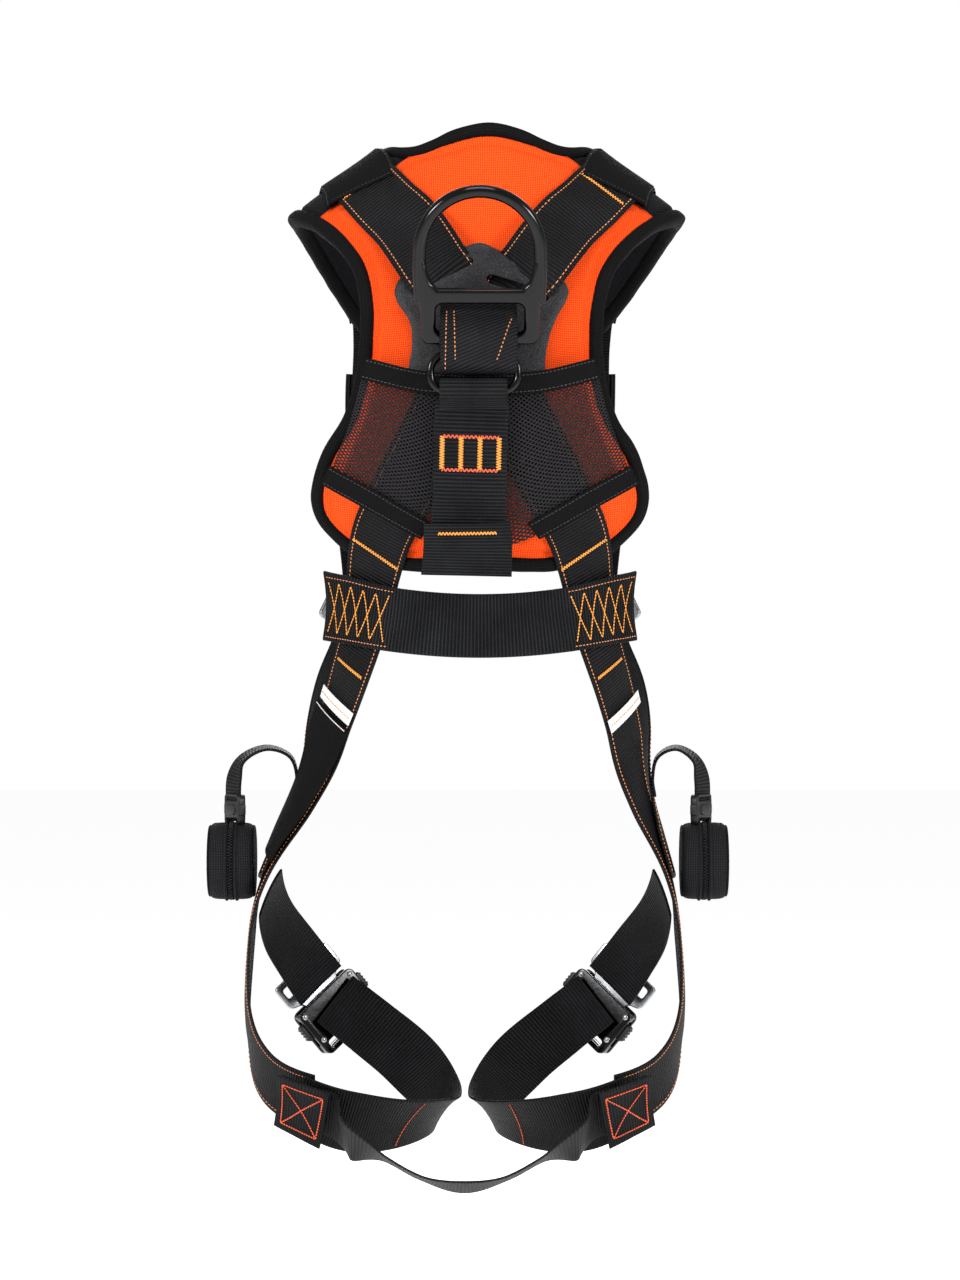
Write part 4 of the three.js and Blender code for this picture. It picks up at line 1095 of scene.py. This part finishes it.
def rounded_outline(wide, high, radius, x=0.0, y=0.0, steps=6):
    points = []
    for cx, cy, start in ((1, -1, -90), (1, 1, 0), (-1, 1, 90), (-1, -1, 180)):
        for k in range(steps + 1):
            a = math.radians(start + 90 * k / steps)
            points.append((x + cx * (wide / 2 - radius) + radius * math.cos(a),
                           y + cy * (high / 2 - radius) + radius * math.sin(a)))
    return points


def arc(x, y, radius, start, end, steps=24):
    angles = [math.radians(start + (end - start) * k / steps) for k in range(steps + 1)]
    return [(x + radius * math.cos(a), y + radius * math.sin(a)) for a in angles]


ring_joint = next(j for j in frame["joints"] if j["name"] == "d_ring_tilt")
ring_at = Vector(ring_joint["pos_m"])
ring_matrix = Matrix.Translation(ring_at) @ Matrix.Rotation(math.pi / 2 + D_LEAN, 4, "X")
frame_outline = [(-34, -4), (34, -4)] + arc(34, 3, 7, -90, 0, 8)[1:] + [(41.4, 22)]
frame_outline += [(43.2, 33), (45.4, 46), (46, 56), (37.6, 56), (36.2, 47), (33.5, 40), (29, 35.5)]
frame_outline += [(-29, 35.5), (-33.5, 40), (-36.2, 47), (-37.6, 56), (-46, 56), (-45.4, 46), (-43.2, 33)]
frame_outline += [(-41.4, 22)] + arc(-34, 3, 7, 180, 270, 8)[:-1]
ring = flat_piece(
    "d_ring_lower_frame", [frame_outline, rounded_outline(61, 21, 5, 0, 14.5)], 8.4, 3.1, ring_matrix,
    gloss_black, "d_ring", steps=5)


def tube(name, path, radius, matrix, material, body="harness_body", sides=20, loop=False):
    """A round bar along a path of points in millimetres."""
    path = np.array(path, float)
    way = tangents(path, loop)
    normal = np.broadcast_to(np.array([0, 0, 1.0]), way.shape)
    side = unit(np.cross(normal, way))
    up = unit(np.cross(way, side))
    turn = np.linspace(0, 2 * math.pi, sides, endpoint=False)
    rings = path[:, None] + radius * (
        np.cos(turn)[None, :, None] * side[:, None] + np.sin(turn)[None, :, None] * up[:, None])
    n = len(path)
    faces = ring_faces(n, sides, loop)
    if not loop:
        faces += [tuple(range(sides))[::-1], tuple((n - 1) * sides + b for b in range(sides))]
    piece = mesh_object(name, rings.reshape(-1, 3), faces)
    piece.data.transform(matrix)
    tidy_normals(piece, 50)
    return dress(piece, material, body)


bow_leg = [(41.0, 27), (41.6, 38), (42.0, 50)]
bow = bow_leg + arc(0, 62, 41.5, 0, 180, 60) + flip(bow_leg)[::-1]
bow = smooth_line([(x, y, 0.0) for x, y in bow], 2.2)[0]
loop_bar = tube("d_ring_upper_loop", bow, 4.5, ring_matrix, gloss_black, "d_ring")
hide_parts("dorsal_d_ring")
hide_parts("dorsal_d_ring")

# The web that ties the ring passes behind its bar, over it and down in front, with two lines of stitches.
WRAP_RADIUS = 8.1
bar_y, bar_z = ring_at.y * 1000, ring_at.z * 1000
wrap_path = [(WRAP_RADIUS, -8), (WRAP_RADIUS, -2)] + arc(0, 0, WRAP_RADIUS, 0, 180, 12)
wrap_path += [(-WRAP_RADIUS, -2), (-WRAP_RADIUS, -4.6)]
wrap_points = []
for n, (y, z) in enumerate(wrap_path):
    a = math.pi * min(max((n - 2) / 12, 0), 1)
    wrap_points.append((-1, bar_y + y, bar_z + z, 0, math.cos(a), math.sin(a)))
band = free_band(wrap_points, 54, 1.2)
band["under"] = band["under"] - band["normal"] * 1.0
wrap = make_strap("d_ring_wrap_web", band, 2.0)
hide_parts("d_ring_wrap")

# Its free end comes from under the plate, through the ring's slot and on into the connector loop.
TIE_PATH = [
    (5.5, 33), (3.5, 26), (-2.4, 15.5), (-8.4, 7), (-10.2, 0), (-10.0, -7), (-8.6, -14), (-7.6, -19.5),
    (-3.6, -23), (0.5, -24),
]
tie_points = []
for n, (y, z) in enumerate(TIE_PATH):
    (y0, z0), (y1, z1) = TIE_PATH[max(n - 1, 0)], TIE_PATH[min(n + 1, len(TIE_PATH) - 1)]
    facing = unit(np.array([0, z1 - z0, y0 - y1], float))
    tie_points.append((-1, bar_y + y, bar_z + z, *facing))
tie_band = free_band(tie_points, 53, 0.8)
tie = make_strap("d_ring_tie_web", tie_band, 1.6, slanting_webbing_material)
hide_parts("d_ring_wrap")
tie_end = tie_band["run"][-1]
seam("d_ring_tie_stitches", tie_band, 1.6, [[(16, -22), (tie_end - 8, -23)], [(16, -17), (tie_end - 14, -16)],
     [(tie_end * 0.35, 23), (tie_end - 12, 12)]], pale_thread, 2.9, 1.9, 0.75)

loop_low, loop_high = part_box("connector_loop")
loop_middle = (Vector(loop_low) + Vector(loop_high)) / 2
loop_matrix = Matrix.Translation(loop_middle) @ Matrix.Rotation(math.pi / 2, 4, "X")
oval = [(x, y, 0.0) for x, y in rounded_outline(60.4, 25.4, 11.2, steps=8)]
oval = smooth_line(oval, 2.0, loop=True)[0]
connector = tube(
    "connector_loop_bar", oval, 2.75, loop_matrix, gloss_black, sides=16, loop=True)
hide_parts("connector_loop")

# ---- Keeper strap --------------------------------------------------------------------------------
# A strap from the connector loop down over the mesh, its end folded and tacked. A box of four bars is
# sewn through it in bright thread with red links.
keeper_band = band_on_wearer(
    [(*p, 24.6) for p in on_back([(-5, 153), (-6, 120), (-7, 80), (-8, 44)])], wide=47, step=0.42)
keeper = make_strap("keeper_strap_ribbed", keeper_band, 2.4, coarse_webbing_material, ribs=0.3)
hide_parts("keeper_strap")
# Its top end goes over the loop's lower bar and back through it.
keeper_x = -4.5
TURN_PATH = [
    (-136.6, 147), (-140.5, 150.5), (-146.4, 154.2), (-148.6, 158.4), (-147.2, 162.6), (-142.6, 165),
    (-138, 165),
]
turn_points = []
for n, (y, z) in enumerate(TURN_PATH):
    (y0, z0), (y1, z1) = TURN_PATH[max(n - 1, 0)], TURN_PATH[min(n + 1, len(TURN_PATH) - 1)]
    facing = unit(np.array([0, z0 - z1, y1 - y0], float))
    turn_points.append((keeper_x, y, z, *facing))
turn_band = free_band(turn_points, 47, 0.42)
turn_over = make_strap("keeper_turn_over", turn_band, 1.6, coarse_webbing_material, ribs=0.25)
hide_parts("keeper_strap")
fold_band = band_on_wearer(
    [(*p, 28.6) for p in on_back([(-8, 74), (-8, 54), (-9, 33)])], wide=54, step=0.42)
fold = make_strap("keeper_fold_ribbed", fold_band, 1.6, coarse_webbing_material, ribs=0.2)
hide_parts("keeper_fold")
tack("keeper_fold_tack", fold_band, 1.8, [((7, -18), (7, 18))])
top, tall = 21.5, 21.0
bars = [-18, -6, 6, 18]
tack("box_stitch_bars", keeper_band, 2.6, [((top, t), (top + tall, t)) for t in bars], wide=3.6, pitch=0.85)
links = [((s, a), (s, b)) for s in (top, top + tall) for a, b in ((-18, -6), (-6, 6), (6, 18))]
tack("box_stitch_links", keeper_band, 2.6, links, wide=2.4, pitch=1.3, material=red_thread)

# ---- Quick-connect buckles -----------------------------------------------------------------------
# Pressed steel buckles at the chest and both legs. Two rivetted cover plates hold a plated tongue between
# them, and a nylon tab at each end releases it.
plated_steel, steel_tree = new_material("zinc_plated_steel_satin")
steel_place = add_node(steel_tree, "ShaderNodeTexCoord")
steel_noise = add_node(steel_tree, "ShaderNodeTexNoise", {
    "Vector": steel_place.outputs["Object"], "Scale": 420.0, "Detail": 4.0})
steel_rough = add_node(steel_tree, "ShaderNodeMapRange", {
    "Value": steel_noise.outputs[0], "To Min": 0.24, "To Max": 0.42})
steel_tone = add_node(steel_tree, "ShaderNodeMix", {
    "Factor": steel_noise.outputs[0], "A": linear("#8F9194"), "B": linear("#B9BBBE")},
    data_type="RGBA")
finish_material(steel_tree, {
    "Base Color": steel_tone.outputs[2], "Roughness": steel_rough.outputs[0], "Metallic": 1.0})

tab_nylon, tab_tree = new_material("moulded_nylon_black_smooth")
tab_place = add_node(tab_tree, "ShaderNodeTexCoord")
tab_noise = add_node(tab_tree, "ShaderNodeTexNoise", {
    "Vector": tab_place.outputs["Object"], "Scale": 1100.0, "Detail": 2.0})
tab_tone = add_node(tab_tree, "ShaderNodeMix", {
    "Factor": tab_noise.outputs[0], "A": linear("#0D0D0E"), "B": linear("#1D1D1F")},
    data_type="RGBA")
tab_bump = add_node(tab_tree, "ShaderNodeBump", {
    "Strength": 0.25, "Distance": 0.0002, "Height": tab_noise.outputs[0]})
finish_material(tab_tree, {
    "Base Color": tab_tone.outputs[2], "Roughness": 0.42, "Normal": tab_bump.outputs[0],
    "Specular IOR Level": 0.35})


def station(x, y, z, lift, heading):
    """Where a hard fitting sits: along it, across it and outwards are its X, Y and Z."""
    at = settle(np.array([x, y, z], float), lift)
    facing = outward(at)
    along = np.array(heading, float)
    along = unit(along - facing * (along @ facing))
    across = np.cross(facing, along)
    spot = swayed(at) / 1000
    return Matrix([(*(float(v[k]) for v in (along, across, facing)), float(spot[k])) for k in range(3)]
                  + [(0, 0, 0, 1)])


def raised(z):
    return Matrix.Translation((0, 0, z / 1000))


def turned(name, profile, matrix, material, sides=48):
    """A solid turned about its Z axis from (radius, height) pairs."""
    profile = np.array(profile, float)
    turn = np.linspace(0, 2 * math.pi, sides, endpoint=False)
    r, z = profile[:, 0], profile[:, 1]
    rings = np.stack([r[:, None] * np.cos(turn), r[:, None] * np.sin(turn),
                      np.repeat(z[:, None], sides, axis=1)], axis=-1)
    n = len(profile)
    run = np.concatenate([[0], np.cumsum(np.hypot(np.diff(r), np.diff(z)))])
    uv = np.stack([np.repeat(run[:, None], sides, 1), np.repeat((turn * r.max())[None], n, 0)], -1)
    piece = mesh_object(name, rings.reshape(-1, 3), ring_faces(n, sides), uv.reshape(-1, 2))
    piece.data.transform(matrix)
    tidy_normals(piece, 40)
    return dress(piece, material)


BLADE = 17
TONGUE_OUTLINE = [
    (-24, -12), (-17, -BLADE), (2, -BLADE), (6, -28), (26, -28), (26, 28), (6, 28), (2, BLADE),
    (-17, BLADE), (-24, 12),
]


def softened(outline, radius, steps=4):
    """An outline with its corners rounded."""
    points = []
    for n in range(len(outline)):
        a, b, c = (np.array(outline[(n + k) % len(outline)], float) for k in (-1, 0, 1))
        cut = min(radius, np.linalg.norm(a - b) * 0.45, np.linalg.norm(c - b) * 0.45)
        start, end = b + (a - b) / np.linalg.norm(a - b) * cut, b + (c - b) / np.linalg.norm(c - b) * cut
        for k in range(steps + 1):
            t = k / steps
            points.append(tuple((1 - t) ** 2 * start + 2 * t * (1 - t) * b + t * t * end))
    return points


for prefix, spot in (
    ("chest", station(-4, 120, 165, 15, (1, 0, 0))),
    ("left_leg", station(-104, 78, -278, 9, (-0.62, -0.2, 0.78))),
    ("right_leg", station(104, 78, -278, 9, (0.62, -0.2, 0.78))),
):
    slot_hole = rounded_outline(5.4, 46, 2.2, -33.3, 0)
    covers = []
    for name, z in (("inner", 1.6), ("outer", 11.4)):
        covers.append(flat_piece(
            f"{prefix}_buckle_{name}_cover", [rounded_outline(39.6, 57.6, 5, -20, 0), slot_hole], 3.1, 0.9,
            spot @ raised(z), gloss_black))
    covers.append(flat_piece(
        f"{prefix}_buckle_back_wall", [rounded_outline(10.5, 56, 3, -34.2, 0), slot_hole], 6.9, 0.5,
        spot @ raised(6.5), gloss_black))
    for end, sign in (("upper", 1), ("lower", -1)):
        covers.append(flat_piece(
            f"{prefix}_buckle_side_{end}_wall", [rounded_outline(5.8, 5, 1.4, -4.2, sign * 25.6)], 6.9, 0.3,
            spot @ raised(6.5), gloss_black))
        for k, x in enumerate((-4.4, -27.0)):
            covers.append(turned(
                f"{prefix}_buckle_rivet_{end}_{k + 1}",
                [(0, 1.1), (1.0, 1.0), (1.8, 0.6), (2.2, 0), (2.2, -13.4), (1.6, -14.0), (0, -14.2)],
                spot @ Matrix.Translation((x / 1000, sign * 0.0245, 0.013)), plated_steel,
                sides=20))
        body = f"{prefix}_tab_{end}"
        at = spot @ Matrix.Translation((-0.0155, sign * 0.0285, 0.0065))
        tab = flat_piece(f"{prefix}_release_tab_{end}_cap", [rounded_outline(14, 8, 2)], 6.5, 1.2, at,
                         tab_nylon, body)
        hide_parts(f"{prefix}_release_tab_{end}")
        for k in range(4):
            flat_piece(f"{prefix}_release_tab_{end}_rib_{k + 1}",
                       [rounded_outline(1.1, 1.4, 0.5, -4.5 + 3 * k, sign * 4)], 5.4, 0.4, at, tab_nylon,
                       body, steps=1)
    for cover_part in covers:
        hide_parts(f"{prefix}_buckle_receptacle")
    flat_piece(f"{prefix}_buckle_pressed_panel", [rounded_outline(17, 33, 4, -16, 0)], 1.6, 0.7,
               spot @ raised(12.9), gloss_black)
    tongue = flat_piece(
        f"{prefix}_buckle_tongue_plate",
        [softened(TONGUE_OUTLINE, 4), rounded_outline(8, 47, 2, 17, 0), rounded_outline(7, 20, 2, -14, 0)],
        3.2, 0.9, spot @ raised(6.5), plated_steel, f"{prefix}_tongue")
    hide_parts(f"{prefix}_buckle_tongue")

# ---- Torso adjusters -----------------------------------------------------------------------------
# Each side has a stamped frame that the web threads through, and a knurled bar that slides to grip it.
for side, sign in (("left", -1), ("right", 1)):
    spot = station(sign * 113, 79, 2, 9, (sign * 0.25, -0.45, -0.86))
    body = f"{side}_adjuster_bar"
    adjuster = flat_piece(
        f"torso_adjuster_stamped_frame_{side}", [rounded_outline(30, 58, 4), rounded_outline(19, 47, 2)], 3,
        0.9, spot @ raised(1.5), plated_steel)
    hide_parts(f"torso_adjuster_frame_{side}")
    bar = flat_piece(f"torso_adjuster_grip_bar_{side}", [rounded_outline(8, 52, 1.5)], 3, 0.8,
                     spot @ raised(5), plated_steel, body)
    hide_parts(f"torso_adjuster_bar_{side}")
    for k in range(12):
        flat_piece(f"torso_adjuster_knurl_{side}_{k + 1}",
                   [rounded_outline(6.6, 1.6, 0.6, 0, -20.9 + 3.8 * k)], 0.9, 0.3, spot @ raised(6.6),
                   plated_steel, body, steps=1)

# ---- Relief-strap pouches ------------------------------------------------------------------------
# A round zipped pouch hangs at each hip on a short web, with a rolled-up strap inside. Each half is a moulded
# cup in coarse black cloth with a piped rim, and the zip runs round between them.
# Its second colour is the painted highlight on the weave crossings.
pouch_cloth = woven_cloth("coarse_woven_nylon_black", "#0C0C0E", "#343438", "#070708", 1.8, 0.7)
POUCH_RADIUS, POUCH_WIDE = 28, 34.4
POUCH_Y, POUCH_Z = -5, -175
CLIP_TURN = 0.5
SLIDER_START = math.radians(42)
ZIP_TEETH = 150
cup_profile = [
    (0, 0.5), (9, 0.2), (18, 0), (22.5, 0.3), (25.2, 1.2), (27.0, 3.2), (27.7, 5.6), (28, 9.0), (28, 12.0),
]
cup_profile += [(28.0 + 1.3 * math.sin(math.pi * k / 8), 12.0 + 3.0 * k / 8) for k in range(1, 9)]
cup_profile += [(26.4, 15), (26.4, 3.6), (23.4, 1.8), (0, 1.7)]
shift = float(swayed(np.array([0, 0, POUCH_Z]))[0])
for side, sign in (("left", -1), ("right", 1)):
    middle = np.array([sign * 172 + shift, POUCH_Y, POUCH_Z])
    hub = Matrix.Translation(Vector(middle / 1000))
    for shell, way in (("outer", sign), ("inner", -sign)):
        face = Matrix.Rotation(-way * math.pi / 2, 4, "Y")
        place = hub @ Matrix.Translation((way * POUCH_WIDE / 2000, 0, 0)) @ face
        cup = turned(f"pouch_{shell}_cup_{side}", cup_profile, place, pouch_cloth)
        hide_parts(f"pouch_{shell}_shell_{side}")
        piping = arc(0, 0, 24.9, 0, 360, 60)[:-1]
        tube(f"pouch_{shell}_piping_{side}", [(x, y, 1.6) for x, y in piping], 1.3, place, black_binding,
             sides=10, loop=True)
    # The zip: a tape ring with moulded teeth.
    zip_place = hub @ Matrix.Rotation(math.pi / 2, 4, "Y")
    turned(f"zip_tape_{side}", [(25.6, -2.6), (27.4, -2.6), (27.4, 2.6), (25.6, 2.6), (25.6, -2.6)],
           zip_place, black_binding)
    spokes = np.linspace(0, 2 * math.pi, ZIP_TEETH, endpoint=False)
    out = np.stack([np.cos(spokes), np.sin(spokes), np.zeros(ZIP_TEETH)], -1)
    side_way = np.where(np.arange(ZIP_TEETH) % 2, 1.0, -1.0)[:, None] * np.array([0, 0, 1.0])
    teeth = thread_object(f"zip_teeth_{side}", out * 27.7 - side_way * 0.5, out * 27.7 + side_way * 2.0, out,
                          0.9, 0.8, tab_nylon)
    teeth.data.transform(zip_place)
    reach = (POUCH_RADIUS + 2.6) / 1000
    slider_place = hub @ Matrix.Translation(
        (0, reach * math.sin(SLIDER_START), reach * math.cos(SLIDER_START)))
    slider_place = slider_place @ Matrix.Rotation(-SLIDER_START, 4, "X")
    slider_edge = softened([(-3.2, -4), (3.2, -4), (3.5, 1), (2, 4), (-2, 4), (-3.5, 1)], 1.4)
    slider = flat_piece(f"zip_slider_body_{side}", [slider_edge], 3.4, 0.9, slider_place, gloss_black,
                        f"{side}_zip_slider")
    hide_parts(f"zip_slider_{side}")
    flat_piece(f"zip_pull_{side}", [rounded_outline(5.4, 15, 2, 0, 7), rounded_outline(2.2, 5, 1, 0, 10)],
               1.2, 0.4, slider_place @ Matrix.Translation((sign * 0.001, 0, 0.0026))
               @ Matrix.Rotation(-sign * math.pi / 2, 4, "Z"), gloss_black,
               f"{side}_zip_slider")
    coil = []
    for k in range(73):
        a = 2 * math.pi * 3 * k / 72
        r = 6 + 16 * k / 72
        y, z = math.cos(a), math.sin(a)
        coil.append((middle[0], middle[1] + r * y, middle[2] + r * z, 0, y, z))
    band = free_band(coil, 28.4, 2.5)
    rolled = make_strap(f"relief_strap_rolled_{side}", band, 1.4)
    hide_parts(f"relief_strap_{side}")
    # The hanger web loops over from the hip web to a small side-release clip, turned a little to the back.
    hanger = []
    for z in (-124, -112):
        at = settle(np.array([sign * 150.0, POUCH_Y, z]), 11.2)
        hanger.append((*swayed(at), *outward(at)))
    near, far = hanger[-1][0], sign * 170.5 + shift
    facing_in = (-sign * math.cos(CLIP_TURN), math.sin(CLIP_TURN), 0)
    for part, z, facing in (
        (0.1, -99, (sign * 0.8, 0, -0.6)), (0.48, -92.5, (0, 0.1, -1)),
        (0.88, -101, (-sign * 0.8, 0.25, -0.55)), (1, -115, facing_in), (1, -146, facing_in),
    ):
        hanger.append((near + part * (far - near), POUCH_Y, z, *facing))
    band = free_band(hanger, 22, 1.5)
    band["under"] = band["under"] - band["normal"] * 0.9
    hang = make_strap(f"pouch_hanger_web_{side}", band, 2.2)
    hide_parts(f"pouch_hanger_{side}")
    clip_at = Matrix.Translation(((sign * 170 + shift) / 1000, -0.005, -0.1375))
    clip_at = clip_at @ Matrix.Rotation(-sign * CLIP_TURN, 4, "Z") @ Matrix.Rotation(math.pi / 2, 4, "Y")
    gaps = [rounded_outline(2.6, 19, 1, x, 0) for x in (-8, 8)]
    flat_piece(f"pouch_clip_body_{side}", [rounded_outline(22, 25, 4.5), *gaps], 6.4, 1.6, clip_at, tab_nylon)
    for end, y in (("back", -12.6), ("front", 12.6)):
        flat_piece(f"pouch_clip_prong_{side}_{end}", [rounded_outline(8.5, 3.4, 1.4, 0, y)], 5, 1.2, clip_at,
                   tab_nylon)
    flat_piece(f"pouch_clip_boss_{side}", [rounded_outline(8, 15, 3)], 8.2, 1.0, clip_at, tab_nylon)

size = {"cad": [list(map(float, c)) for c in cad_box], "visual": [list(map(float, c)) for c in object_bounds()]}
